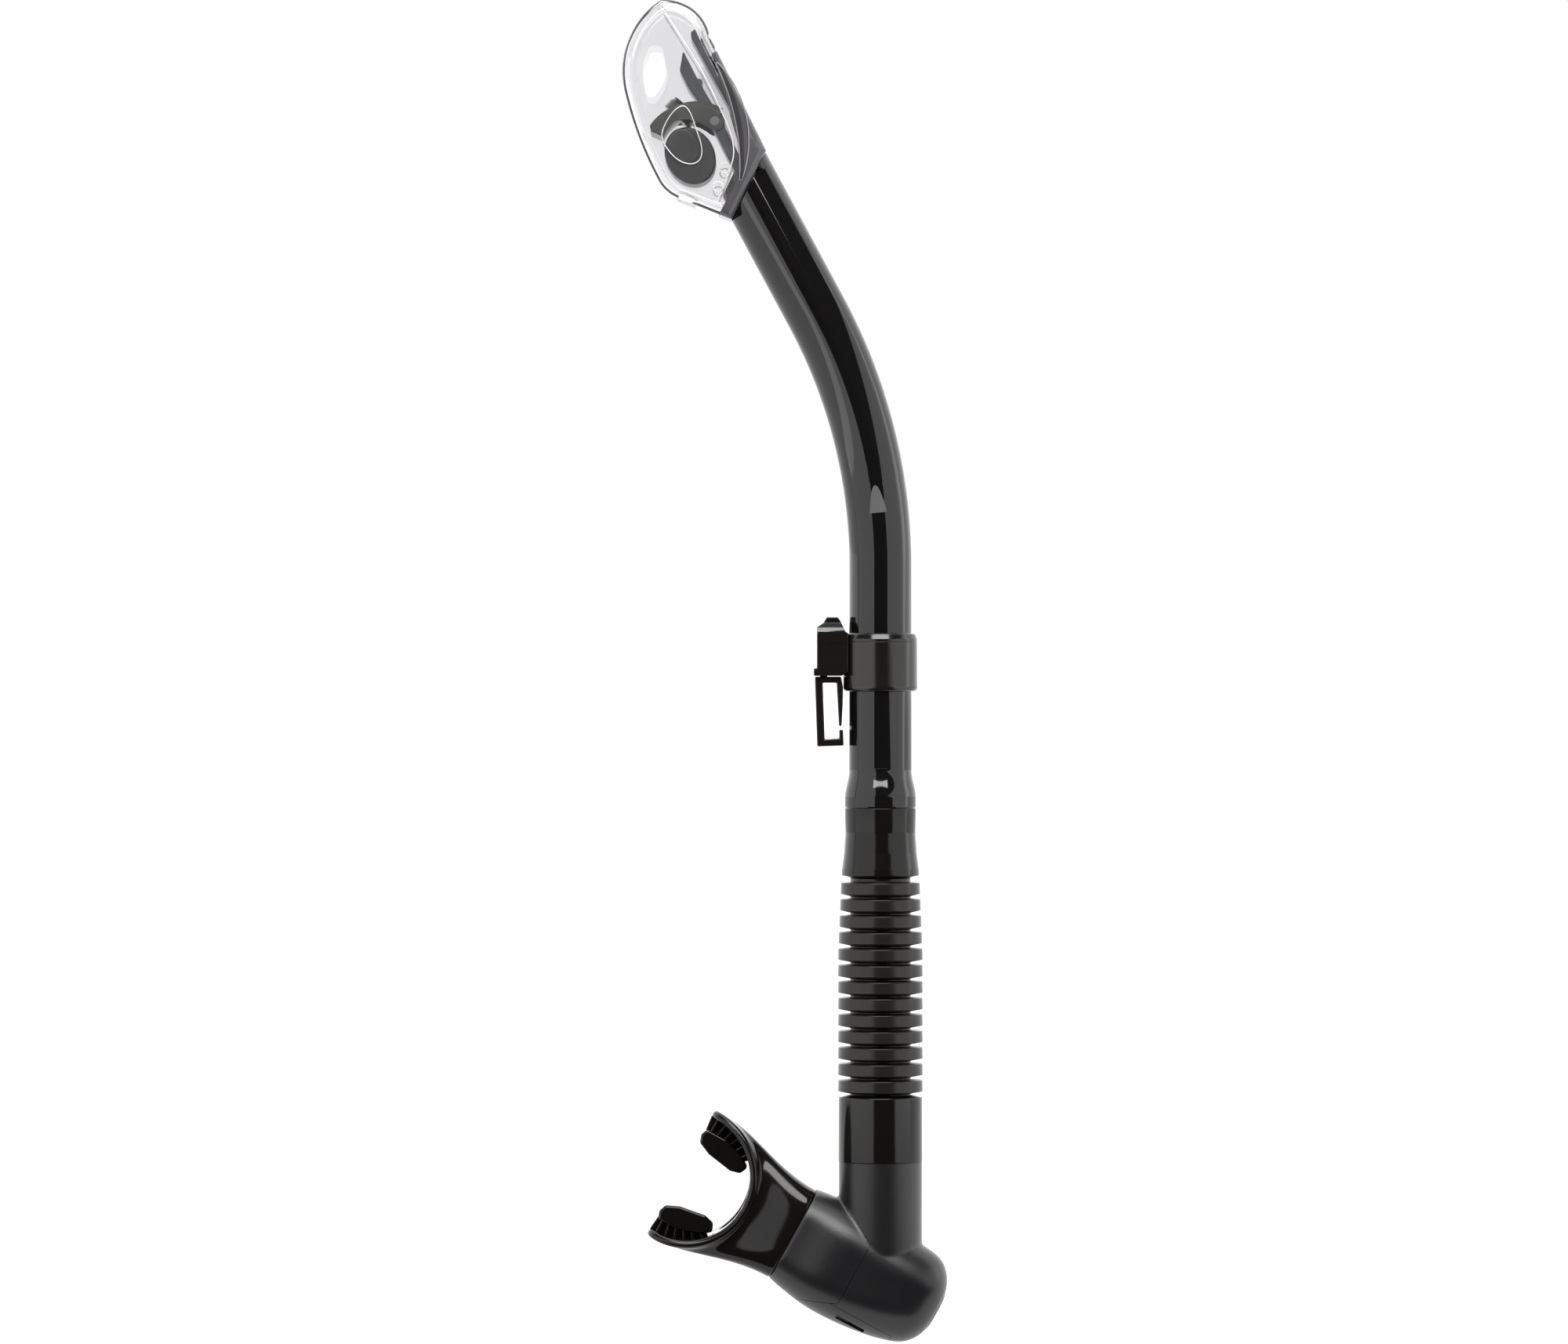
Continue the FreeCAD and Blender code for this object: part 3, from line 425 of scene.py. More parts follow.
MATERIALS = {
    "barrel_gloss": surface("barrel_gloss", (0.003, 0.0027, 0.0027), 0.05, bump=0.006, rough_swing=0.015),
    # Key ramp: the tube's black made twenty times lighter and rougher; the lighter colour is a painted
    # highlight.
    "barrel_ramp_painted_highlight": surface("barrel_ramp_painted_highlight", (0.06, 0.058, 0.058), 0.4, grain=2500.0, bump=0.1),
    "inner_plastic": surface("inner_plastic", (0.032, 0.034, 0.035), 0.25),
    "housing_smoke": surface("housing_smoke", (0.05, 0.048, 0.051), 0.16, bump=0.01),
    # Lighter copy of the housing's smoke plastic for the raised groove edges: a painted highlight.
    "housing_trim_painted_highlight": surface("housing_trim_painted_highlight", (0.16, 0.155, 0.16), 0.2, bump=0.01),
    "cap_clear": surface("cap_clear", (0.885, 0.88, 0.89), 0.02, variation=0.01, bump=0.004,
                         transmission=1.0, ior=1.49, rough_swing=0.008),
    # Whitish, only partly clear copy of the cap's plastic for its moulded ridges: a painted highlight.
    "cap_line_painted_highlight": surface("cap_line_painted_highlight", (0.8, 0.8, 0.79), 0.15, variation=0.01, bump=0.004,
                        transmission=0.6, ior=1.49),
    "pin_steel": surface("pin_steel", (0.14, 0.14, 0.145), 0.22, metallic=1.0, bump=0.05),
    "lever_olive": surface("lever_olive", (0.02, 0.02, 0.0145), 0.28, bump=0.04),
    "float_black": surface("float_black", (0.0045, 0.004, 0.0038), 0.32, bump=0.05),
    "silicone_black": surface("silicone_black", (0.0034, 0.0028, 0.0024), 0.12, grain=900.0, bump=0.015,
                              ior=1.37),
    "silicone_ring": surface("silicone_ring", (0.008, 0.007, 0.006), 0.24, grain=900.0, bump=0.03, ior=1.37),
    "silicone_clear": surface("silicone_clear", (0.6, 0.6, 0.58), 0.4, transmission=0.4, bump=0.04),
    "band_satin": surface("band_satin", (0.005, 0.0042, 0.0034), 0.17, grain=2200.0, bump=0.05),
    "clip_gloss": surface("clip_gloss", (0.005, 0.0042, 0.0034), 0.14, bump=0.015),
    "elbow_matte": surface("elbow_matte", (0.0034, 0.0033, 0.0042), 0.34, spot=40.0, grain=2600.0, bump=0.1),
    # Black for the sheet at the bottom of the housing's grooves: painted shade in the recess.
    "groove_painted_shade": surface("groove_painted_shade", (0.008, 0.008, 0.008), 0.3),
}


# ---------------------------------------------------------------- barrel
def barrel_ring(radius, centre, turn, depth=0.0, half_width=PLAIN_HALF_WIDTH, lift=None):
    """One ring of the tube; its columns follow the edges of the key flat."""
    edge = math.asin(half_width / radius)
    angles = [edge * (2 * k / KEY_COLUMNS - 1) for k in range(KEY_COLUMNS + 1)]
    angles += [edge + (2 * math.pi - 2 * edge) * k / ARC_COLUMNS for k in range(1, ARC_COLUMNS)]
    ring = []
    for k, angle in enumerate(angles):
        across = radius * math.sin(angle)
        y = -radius * math.cos(angle)
        if k <= KEY_COLUMNS and depth:
            across = half_width * (2 * k / KEY_COLUMNS - 1)
            y = depth - radius
        along = lift(across) if lift else 0.0
        x = centre[0] + across * math.cos(turn) - along * math.sin(turn)
        z = centre[1] + across * math.sin(turn) + along * math.cos(turn)
        ring.append((x, y, z))
    return ring


def seam_height(across, share=1.0, extra=0.0):
    return share * (SEAM_MIDDLE + SEAM_SLOPE * across) + extra


def key_half_width(depth):
    return math.sqrt(max(2 * TUBE_R * depth - depth * depth, 0.0))


def barrel_tube():
    rings = []

    def straight(radius, z, depth=0.0, half_width=PLAIN_HALF_WIDTH):
        rings.append(barrel_ring(radius, (TUBE_X, z), 0.0, depth, half_width))

    def bent(radius, turn, depth=0.0, half_width=PLAIN_HALF_WIDTH):
        rings.append(barrel_ring(radius, bend_point(turn), turn, depth, half_width))

    def upper(radius, lift):
        rings.append(barrel_ring(radius, bend_point(BEND_ANGLE), BEND_ANGLE, lift=lift))

    flat_width = key_half_width(KEY_FLAT_DEPTH)
    straight(BELL_R - 0.5, BELL_END_Z)
    straight(BELL_R - 0.15, BELL_END_Z + 0.12)
    straight(BELL_R, BELL_END_Z + 0.5)
    for k in range(25):
        t = k / 24
        share = t * t * (3 - 2 * t)
        straight(BELL_R + (TUBE_R - BELL_R) * share, FLARE_LOW_Z + (FLARE_TOP_Z - FLARE_LOW_Z) * t)
    straight(TUBE_R, KEY_FLAT_LOW_Z)
    rows = 40
    for k in range(rows + 1):
        z = KEY_FLAT_LOW_Z + 0.05 + (BEND_START_Z - KEY_FLAT_LOW_Z - 0.05) * k / rows
        straight(TUBE_R, z, KEY_FLAT_DEPTH, flat_width)
    flat_turn = math.asin((KEY_FLAT_TOP_Z - BEND_START_Z) / BEND_RADIUS)
    ramp_turn = math.asin((KEY_RAMP_TOP_Z - BEND_START_Z) / BEND_RADIUS)
    for k in range(1, 13):
        bent(TUBE_R, flat_turn * k / 12, KEY_FLAT_DEPTH, flat_width)
    ramp_first = len(rings)
    for k in range(25):
        t = k / 24
        depth = KEY_RAMP_DEPTH * (1 - t)
        width = max(key_half_width(depth), RAMP_TIP_HALF_WIDTH)
        bent(TUBE_R, flat_turn + 0.0002 + (ramp_turn - flat_turn) * t, depth, width)
    ramp_last = len(rings) - 1
    for k in range(1, 7):
        width = RAMP_TIP_HALF_WIDTH + (flat_width - RAMP_TIP_HALF_WIDTH) * k / 6
        bent(TUBE_R, ramp_turn + RAMP_FADE_TURN * k / 6, 0.0, width)
    for k in range(1, 57):
        bent(TUBE_R, ramp_turn + RAMP_FADE_TURN + (BEND_ANGLE - ramp_turn - RAMP_FADE_TURN) * k / 56)
    for k in range(1, 24):
        upper(TUBE_R, lambda a, share=k / 24: seam_height(a, share))
    upper(TUBE_R, lambda a: seam_height(a, extra=-0.35))
    upper(TUBE_R - 0.08, lambda a: seam_height(a, extra=-0.15))
    upper(TUBE_R - 0.3, seam_height)
    upper(SPIGOT_R, seam_height)
    upper(SPIGOT_R, lambda a: seam_height(a, extra=SPIGOT_LENGTH))
    upper(SPIGOT_BORE_R, lambda a: seam_height(a, extra=SPIGOT_LENGTH))
    upper(SPIGOT_BORE_R, lambda a: SPIGOT_FOOT)
    upper(BORE_R, lambda a: SPIGOT_FOOT)
    for k in range(31):
        bent(BORE_R, BEND_ANGLE * (1 - k / 30))
    straight(BORE_R, BELL_BORE_TOP_Z)
    straight(BELL_BORE_R, BELL_BORE_TOP_Z)
    straight(BELL_BORE_R, BELL_END_Z)
    ob = loft("barrel", rings, closed=True)
    ob.data.materials.append(MATERIALS["barrel_gloss"])
    ob.data.materials.append(MATERIALS["barrel_ramp_painted_highlight"])
    count = len(rings[0])
    # The ramp faces take the lighter ramp material, which paints a highlight on them.
    for row in range(ramp_first, ramp_last):
        for k in range(KEY_COLUMNS):
            ob.data.polygons[row * count + k].material_index = 1
    return finish_piece(ob, "barrel_tube_skin", "barrel", "barrel_gloss", ["barrel_tube"], crease=7)


# ---------------------------------------------------------------- dry top
def top_outline():
    """Side view of the dry top above the seam, as (across, along)."""
    left = (-10.8, SEAM_MIDDLE - SEAM_SLOPE * 10.8)
    right = (10.8, SEAM_MIDDLE + SEAM_SLOPE * 10.8)
    points = [left, right]
    shoulder = (12.3, 100.0)
    points += [(right[0] + (shoulder[0] - right[0]) * k / 8,
                right[1] + (shoulder[1] - right[1]) * k / 8) for k in range(1, 8)]
    points += arc_through(shoulder, (10.6, 113.4), (3.6, 119.4))
    points += arc_through((3.6, 119.4), (-4.2, 117.7), (-11.9, 113.2))
    points += arc_through((-11.9, 113.2), (-18.8, 105.6), (-22.5, 96.9))
    points += arc_through((-22.5, 96.9), (-25.8, 80.0), (-26.7, 64.0))
    points += arc_through((-26.7, 64.0), (-25.7, 60.0), (-23.8, 56.8))
    points += [(-23.8, 56.8)]
    return points


def teardrop():
    points = arc_through((-6.3, 107.2), (-3.8, 105.4), (-4.3, 101.0))
    points += [(-4.3, 101.0), (-4.95, 98.5)]
    points += arc_through((-5.6, 96.0), (-9.8, 91.9), (-13.6, 89.9), 6)
    points += arc_through((-13.6, 89.9), (-16.6, 90.9), (-16.9, 94.0))
    points += arc_through((-16.9, 94.0), (-13.8, 101.5), (-9.6, 106.2))
    points += arc_through((-9.6, 106.2), (-8.0, 107.4), (-6.3, 107.2), 4)
    return points


def top_half_width(along):
    """Half thickness of the dry top at a height."""
    stations = [(40.0, 10.9), (60.0, TOP_HALF_Y), (106.0, TOP_HALF_Y), (119.0, 10.0), (125.0, 9.0)]
    for (low, wide), (high, wide_next) in zip(stations, stations[1:]):
        if along <= high:
            t = min(max((along - low) / (high - low), 0.0), 1.0)
            t = t * t * (3 - 2 * t)
            return wide + (wide_next - wide) * t
    return stations[-1][1]


def pillow(outline, wall, bevel, steps=5):
    """Solid of the dry top's outline with rounded edges, following its end view."""
    edge_share = bevel / TOP_HALF_Y
    full = inset(outline, wall) if wall else outline
    rings = []
    for k in range(steps + 1):
        turn = math.pi / 2 * k / steps
        drawn = inset(full, bevel * (1 - math.sin(turn))) if k < steps else full
        level = 1 - edge_share * (1 - math.cos(turn))
        rings.append([(a, -(top_half_width(b) - wall) * level, b) for a, b in drawn])
    mirrored = [[(a, -y, b) for a, y, b in ring] for ring in reversed(rings)]
    return loft("pillow", rings + mirrored)


def housing_region(shift=0.0):
    """Everything on the housing's side of the parting line."""
    edge = [(a + shift, b - shift) for a, b in HOUSING_EDGE]
    corners = [(30.0, 94.4 - shift), (10.2 + shift, 94.4 - shift)] + edge + [(-40.0, 27.5), (30.0, 20.0)]
    return prism("region", corners, -30, 30)


def splash_cap():
    outline = top_outline()
    cap = pillow(outline, 0.0, TOP_ROUNDING, 8)
    hollow = pillow(outline, TOP_WALL, HOLLOW_ROUNDING, 6)
    column = prism("column", inset(teardrop(), -HOLE_GROWTH - TOP_WALL), -20, 20)
    boolean(hollow, "DIFFERENCE", [column])
    boolean(cap, "DIFFERENCE", [hollow])
    hole = prism("hole", inset(teardrop(), -HOLE_GROWTH), -20, 20)
    notch = block(7.0, 14.0, -3.6, 3.6, 94.0, 101.4)
    slots = [block(-24.5, -19.5, y - 1.2, y + 1.2, 40, 57) for y in (-7.0, 0.0, 7.0)]
    boolean(cap, "DIFFERENCE", [housing_region(-0.05), hole, notch] + slots)
    return finish_piece(cap, "splash_cap_shell", "barrel", "cap_clear", ["splash_cap"], TOP_FRAME)


def cap_relief():
    """Thin raised lines and small ring bosses moulded on both faces of the clear cap, in a whitish material
    that paints their highlight.
    """
    parts = []
    loop = [(-6.6, 83.6), (-10.5, 83.6), (-16.2, 80.5), (-19.2, 77.0), (-18.6, 70.0), (-16.0, 65.5),
            (-12.8, 63.8), (-9.8, 64.7), (-7.8, 68.5), (-6.9, 74.7), (-5.9, 80.0)]
    panel_edge = [(2.6, 116.0), (3.5, 104.0), (4.4, 92.0), (3.8, 79.0), (3.0, 67.0), (0.8, 61.0),
                  (-2.4, 57.2), (-11.9, 49.4), (-12.6, 49.0), (-13.3, 49.5), (-22.0, 58.8)]
    for side in (-1, 1):
        parts.append(wire(loop, side * TOP_HALF_Y, 0.18))
        parts.append(wire(panel_edge, side * 13.95, 0.24, closed=False))
        for boss in ((-4.7, 57.9), (-9.7, 53.4)):
            parts.append(wire([polar(boss, 1.75, 30 * k) for k in range(12)], side * 13.95, 0.2))
    relief = join("relief", parts)
    # Whitish ridge material: a painted highlight along the lines and bosses.
    relief.data.materials.append(MATERIALS["cap_line_painted_highlight"])
    return finish_piece(relief, "splash_cap_relief", "barrel", "cap_clear", place=TOP_FRAME)


def wire(points, y, radius, closed=True):
    """Smooth wire through points on the dry top's side face."""
    curve = bpy.data.curves.new("wire", "CURVE")
    curve.dimensions = "3D"
    curve.bevel_depth = radius
    curve.bevel_resolution = 3
    curve.resolution_u = 8
    line = curve.splines.new("NURBS")
    line.points.add(len(points) - 1)
    for point, (a, b) in zip(line.points, points):
        point.co = (a, y * top_half_width(b) / TOP_HALF_Y, b, 1)
    line.order_u = 3
    line.use_cyclic_u = closed
    line.use_endpoint_u = not closed
    holder = bpy.data.objects.new("wire", curve)
    bpy.context.scene.collection.objects.link(holder)
    graph = bpy.context.evaluated_depsgraph_get()
    mesh = bpy.data.meshes.new_from_object(holder.evaluated_get(graph))
    bpy.data.objects.remove(holder)
    ob = bpy.data.objects.new("wire", mesh)
    bpy.context.scene.collection.objects.link(ob)
    return ob


def groove_outline():
    """Slanted lens in the housing's side, as (across, along)."""
    points = arc_through((9.6, 90.5), (7.2, 74.0), (-1.6, 52.6), 20)
    points += arc_through((-1.6, 52.6), (-1.9, 51.6), (-1.1, 51.8), 4)
    points += arc_through((-1.1, 51.8), (7.8, 63.5), (10.4, 90.5), 20)
    points += [(10.4, 90.5), (10.0, 91.0)]
    return points


def inlet_housing():
    outline = top_outline()
    body = pillow(outline, 0.0, TOP_ROUNDING, 8)
    boolean(body, "INTERSECT", [housing_region(0.0)])
    hollow = pillow(outline, TOP_WALL, HOLLOW_ROUNDING, 6)
    floor = prism("floor", [(-40, 20), (30, 20), (30, 51.0), (-40, 51.0)], -30, 30)
    boolean(hollow, "DIFFERENCE", [floor])
    sides = [(-SOCKET_R, 30), (SOCKET_R, 30), (SOCKET_R, 66), (-SOCKET_R, 49)]
    socket = prism("socket", sides, -SOCKET_R, SOCKET_R)
    boolean(hollow, "DIFFERENCE", [socket])
    boolean(body, "DIFFERENCE", [hollow])
    boolean(body, "DIFFERENCE", [upright("bore", SPIGOT_R + 0.05, 0.0, 20.0, 75.0, 96)])
    for side in (-1, 1):
        low, high = sorted((side * 13.2, side * 20.0))
        boolean(body, "DIFFERENCE", [prism("groove", groove_outline(), low, high)])
    return finish_piece(body, "inlet_housing_shell", "barrel", "housing_smoke", ["inlet_housing"], TOP_FRAME)


def housing_groove_floor():
    """Black sheet at the bottom of the two slanted grooves: painted shade in the recess."""
    parts = []
    outline = arc_through((9.7, 90.3), (7.3, 74.0), (-1.5, 52.6), 20)
    outline += arc_through((-1.5, 52.6), (-1.5, 51.7), (-0.9, 52.2), 4)
    outline += arc_through((-0.9, 52.2), (8.4, 71.0), (10.3, 90.3), 20)
    outline += [(10.3, 90.3)]
    for side in (-1, 1):
        parts.append(prism("floor", outline, *sorted((side * 12.6, side * 13.35))))
    return finish_piece(join("floors", parts), "housing_groove_floor", "barrel", "groove_painted_shade",
                        place=TOP_FRAME)


def housing_trim():
    """Fine raised edge round each groove, coloured lighter than the housing as a painted highlight."""
    parts = [wire(groove_outline(), side * 13.85, 0.2) for side in (-1, 1)]
    trim = join("trim", parts)
    trim.data.materials.append(MATERIALS["housing_trim_painted_highlight"])
    return finish_piece(trim, "housing_groove_trim", "barrel", "housing_smoke", place=TOP_FRAME)


def inlet_duct():
    """Dark seat plate and rear post of the air duct, with clear side walls between them."""
    plate_side = [(-2.3, 51.5, 0.3), (1.8, 51.5, 0.3), (2.2, 76.0, 2.0), (1.7, 88.0, 2.0),
                  (1.9, 100.2, 0.4), (-2.3, 94.8, 0.6), (-2.6, 88.0, 2.0), (-1.4, 78.5, 2.0)]
    plate = prism("plate", filleted(plate_side, 3), -10.4, 10.4, 0.4)
    seat = rod("seat", 1.2, (1.6, 88.0), -11.2, 11.2, 0.3, 24)
    post_side = [(6.7, 51.5, 0.2), (8.6, 51.5, 0.2), (8.9, 99.0, 0.6), (9.0, 104.9, 0.5),
                 (7.2, 104.4, 0.5), (6.4, 102.6, 0.5)]
    post = prism("post", filleted(post_side, 3), -10.4, 10.4, 0.3)
    finish_piece(join("duct", [plate, seat, post]), "duct_seat_and_post", "barrel", "inner_plastic",
                 ["inlet_duct"], TOP_FRAME)
    wall_side = [(1.9, 52.0), (6.8, 52.0), (6.8, 93.0), (1.9, 90.0)]
    walls = [prism("wall", wall_side, *sorted((side * 9.0, side * 10.3))) for side in (-1, 1)]
    finish_piece(join("walls", walls), "duct_side_walls", "barrel", "cap_clear", place=TOP_FRAME)


def oval(centre, half, steps=72):
    return [(centre[0] + half[0] * math.cos(2 * math.pi * k / steps),
             centre[1] + half[1] * math.sin(2 * math.pi * k / steps)) for k in range(steps)]


def lever_cheeks():
    """Crescent plates on both sides of the lever, with a round end over the pin and no hole for it."""
    outline = arc_through((2.9, 75.4), (-7.9, 84.3), (-20.3, 82.9), 24)
    outline += arc_through((-20.3, 82.9), (-20.6, 81.2), (-19.4, 79.9), 5)
    outline += arc_through((-19.4, 79.9), (-9.6, 79.3), (-2.9, 72.2), 20)
    outline += arc_through((-2.9, 72.2), (0.6, 70.3), (3.4, 73.4), 10)
    outline += [(3.4, 73.4)]
    plates = [prism("cheek", outline, *sorted((side * 10.75, side * 12.05)), 0.3) for side in (-1, 1)]
    return finish_piece(join("cheeks", plates), "lever_side_plates", "float", "lever_olive", place=TOP_FRAME)


def float_drum():
    drum = prism("drum", oval(FLOAT_CENTRE, FLOAT_HALF), -FLOAT_HALF_Y, FLOAT_HALF_Y, 0.5)
    return finish_piece(drum, "float_drum", "float", "float_black", ["float_body"], TOP_FRAME)


def float_ends():
    parts = []
    for side in (-1, 1):
        near, far, face = side * FLOAT_HALF_Y, side * (FLOAT_HALF_Y + 0.9), side * 11.6
        plate = prism("plate", oval(FLOAT_CENTRE, (8.2, 10.0)), *sorted((near, far)), 0.4)
        boss = prism("boss", oval((-13.4, 71.1), (5.4, 6.4)), *sorted((far - side * 0.4, face)), 0.7, 4)
        parts += [plate, boss]
    return finish_piece(join("ends", parts), "float_end_plates", "float", "float_black",
                        ["float_end_caps"], TOP_FRAME)


# ---------------------------------------------------------------- keeper, clip and hook
def keeper_band():
    """Ring with round shoulders and a fine moulded line, and the rail that the clip sits on."""
    line = [(BAND_R, BAND_LINE_Z - 0.14, 0), (BAND_R - 0.12, BAND_LINE_Z, 0.05),
            (BAND_R, BAND_LINE_Z + 0.14, 0)]
    shoulder = [(BAND_R, BAND_HIGH_Z - 2.0, 0.9), (BAND_R - 0.62, BAND_HIGH_Z - 0.35, 0.6),
                (BAND_R - 1.2, BAND_HIGH_Z, 0.4)]
    profile = filleted([(BAND_R, BAND_LOW_Z, 1.7)] + line + shoulder
                       + [(TUBE_R + 0.06, BAND_HIGH_Z, 0.05), (TUBE_R + 0.06, BAND_LOW_Z, 0.05)], 8)
    band = lathe("band", profile)
    rail = join("rail", [block(2.4, TUBE_X - BAND_R + 0.6, -2.6, 2.6, 12.2, 24.0),
                         block(1.0, 2.6, -4.6, 4.6, 12.2, 24.0)])
    return finish_piece(join("band", [band, rail]), "keeper_ring", "keeper", "band_satin", ["keeper_band"])


def clip_receiver():
    """Block with a domed top, a pocket for the button and a channel for the rail and the tongue."""
    side = [(-4.4, 14.5), (-5.5, 14.5), (-5.5, 11.9), (4.1, 11.9), (CLIP_RIGHT_X, 13.2),
            (CLIP_RIGHT_X, 26.4), (5.5, 27.0), (4.7, 28.6), (3.9, CLIP_TOP_Z), (-1.9, CLIP_TOP_Z),
            (-4.4, 28.5)]
    body = prism("body", side, -8.0, 8.0, 0.35)
    half = [(8.2, 5.0, 0), (8.2, 26.3, 1.2), (7.5, 28.5, 1.0), (5.6, CLIP_TOP_Z, 1.0)]
    dome = prism("dome", filleted(half + [(-a, b, r) for a, b, r in reversed(half)], 6), -20, 20)
    dome.data.transform(Matrix.Rotation(math.radians(90), 4, "Z"))
    boolean(body, "INTERSECT", [dome])
    cuts = [block(2.35, 8, -2.65, 2.65, 0, 24.05), block(0.95, 2.65, -4.65, 4.65, 0, 24.05),
            block(-3.7, -0.5, -4.6, 4.6, 0, 23.0), block(-2.05, 4.1, -4.25, 4.25, 26.9, 35),
            block(-1.7, 1.0, -2.9, 2.9, 22.0, 28.0)]
    cuts += [block(-10.0, 10.0, *sorted((side * 7.9, side * 9.0)), 23.0, 23.2) for side in (-1, 1)]
    boolean(body, "DIFFERENCE", cuts)
    return finish_piece(body, "clip_block", "keeper", "clip_gloss", ["clip_receiver"])


def release_tab():
    outline = [(-1.95, 28.6), (3.95, 28.6), (3.95, 30.35), (2.8, 32.0), (-1.0, 32.0), (-1.95, 30.35)]
    cap = prism("cap", outline, -4.1, 4.1, 0.25)
    ribs = [block(-0.75 + 0.9 * k, -0.35 + 0.9 * k, -3.4, 3.4, 31.8, 32.15, 0.08) for k in range(4)]
    stem = block(-1.4, 0.7, -2.6, 2.6, 26.2, 29.0, 0.15)
    return finish_piece(join("tab", [cap, stem] + ribs), "release_button", "release", "clip_gloss",
                        ["release_tab"])


def strap_hook():
    loop = [(-5.1, 11.6), (3.9, 11.6), (4.6, 8.0), (4.5, 2.0), (4.1, -5.4), (3.2, -5.4), (2.4, 9.5),
            (-2.4, 9.5), (-1.7, -9.9), (3.3, -9.6), (3.3, -6.6), (4.6, -6.6), (4.8, -12.1), (-4.3, -12.4)]
    frame_part = prism("loop", list(reversed(loop)), -6.0, 6.0, 0.4)
    tongue = block(-3.4, -0.8, -4.2, 4.2, 11.2, 21.5, 0.4)
    return finish_piece(join("hook", [frame_part, tongue]), "hook_loop", "hook", "clip_gloss",
                        ["strap_hook"])


# ---------------------------------------------------------------- hose
def flex_hose():
    corners = [(BELL_R, HOSE_TOP_Z, 0.3), (12.25, -36.5, 3.0), (12.1, -42.0, 6.0), (12.6, -49.0, 6.0),
               (13.3, -54.5, 3.0), (13.4, -56.8, 0.4), (HOSE_CORE_R, -57.6, 0.5)]
    for count in range(RING_COUNT):
        top = RING_FIRST_TOP_Z - count * RING_PITCH
        radius = 13.7 + 0.9 * min(count / 4.0, 1.0)
        corners += [(HOSE_CORE_R, top + 0.35, 0.3), (radius - 0.1, top, 0.3), (radius, top - 3.9, 0.3),
                    (HOSE_CORE_R, top - 4.7, 0.3)]
    corners += [(HOSE_CORE_R, -132.2, 0.4), (14.4, -132.9, 0.45), (14.5, HOSE_LOW_Z, 0.25)]
    corners += [(COLLAR_BORE_R, HOSE_LOW_Z, 0), (COLLAR_BORE_R, -136.0, 0), (HOSE_BORE_R, -134.5, 0),
                (HOSE_BORE_R, -95.0, 0), (HOSE_BORE_R, -56.0, 0),
                (COUPLING_FIT_R, -55.4, 0), (COUPLING_FIT_R, HOSE_TOP_Z, 0)]
    ob = lathe("hose", filleted(corners, 4), steps=144)
    ob.data.materials.append(MATERIALS["silicone_black"])
    ob.data.materials.append(MATERIALS["silicone_ring"])
    for face in ob.data.polygons:
        face.material_index = int(RINGS_LOW_Z < face.center.z < RINGS_TOP_Z)
    finish_piece(ob, "ribbed_hose", None, "silicone_black", ["flex_hose"], crease=40)
    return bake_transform(ob)


# ---------------------------------------------------------------- elbow
def rounded_rect(low, high, half_y, corner, turns=12, sides=8):
    """Points (y, q) round a rounded rectangle, the same count for every size."""
    inner_y = half_y - corner
    bottom, top = low + corner, high - corner
    corners = [(inner_y, top, 0), (-inner_y, top, 90), (-inner_y, bottom, 180), (inner_y, bottom, 270)]
    points = []
    for i, (y, q, start) in enumerate(corners):
        for k in range(turns):
            points.append(polar((y, q), corner, start + 90 * k / turns))
        here = polar((y, q), corner, start + 90)
        nxt = corners[(i + 1) % 4]
        there = polar(nxt[:2], corner, nxt[2])
        for k in range(sides):
            t = k / sides
            points.append((here[0] + (there[0] - here[0]) * t, here[1] + (there[1] - here[1]) * t))
    return points


def section_at(along):
    """Chamber section at a distance along the mouth axis, by a smooth curve through the stations."""
    for i in range(len(CHAMBER) - 1):
        if along <= CHAMBER[i + 1][0] or i == len(CHAMBER) - 2:
            first, second = CHAMBER[i], CHAMBER[i + 1]
            before = CHAMBER[max(i - 1, 0)]
            after = CHAMBER[min(i + 2, len(CHAMBER) - 1)]
            span = second[0] - first[0]
            t = (along - first[0]) / span
            values = []
            for k in range(1, 5):
                slope_in = (second[k] - before[k]) / (second[0] - before[0]) * span
                slope_out = (after[k] - first[k]) / (after[0] - first[0]) * span
                t2, t3 = t * t, t * t * t
                values.append((2 * t3 - 3 * t2 + 1) * first[k] + (t3 - 2 * t2 + t) * slope_in
                              + (3 * t2 - 2 * t3) * second[k] + (t3 - t2) * slope_out)
            return values


def chamber(name, start, end, inward=0.0, steps=40):
    """Loft of the chamber between two stations, drawn in by a wall."""
    rings = []
    for k in range(steps + 1):
        along = start + (end - start) * k / steps
        low, high, half_y, corner = section_at(along)
        corner = max(corner - inward, 0.8)
        rings.append([(along, y, q) for y, q in
                      rounded_rect(low + inward, high - inward, half_y - inward, corner)])
    return loft(name, rings)


def neck_rod(name, radius, low_z, high_z):
    """Vertical rod on the tube's axis, in the mouth frame."""
    ob = upright(name, radius, TUBE_X, low_z, high_z, 128)
    ob.data.transform(MOUTH_FRAME.inverted())
    return ob


def collar_region(grow=0.0):
    low, high = COLLAR_LINE
    outline = [(-5, 40), (-5, -40), (low[0] - 1.0, -40), (low[0], low[1] - grow),
               (high[0] + grow, high[1] - grow), (high[0] + grow, 40)]
    region = prism("region", outline, -30, 30)
    boolean(region, "INTERSECT", [chamber("near", 0.0, 50.0, -0.5)])
    return boolean(region, "DIFFERENCE", [neck_rod("neck", NECK_R + SEAM_GAP - grow, -215, -120)])


def cover_region(grow=0.0):
    return block(COVER_FROM - grow, COVER_TO + grow, -30, 30, -30, COVER_TOP + grow)


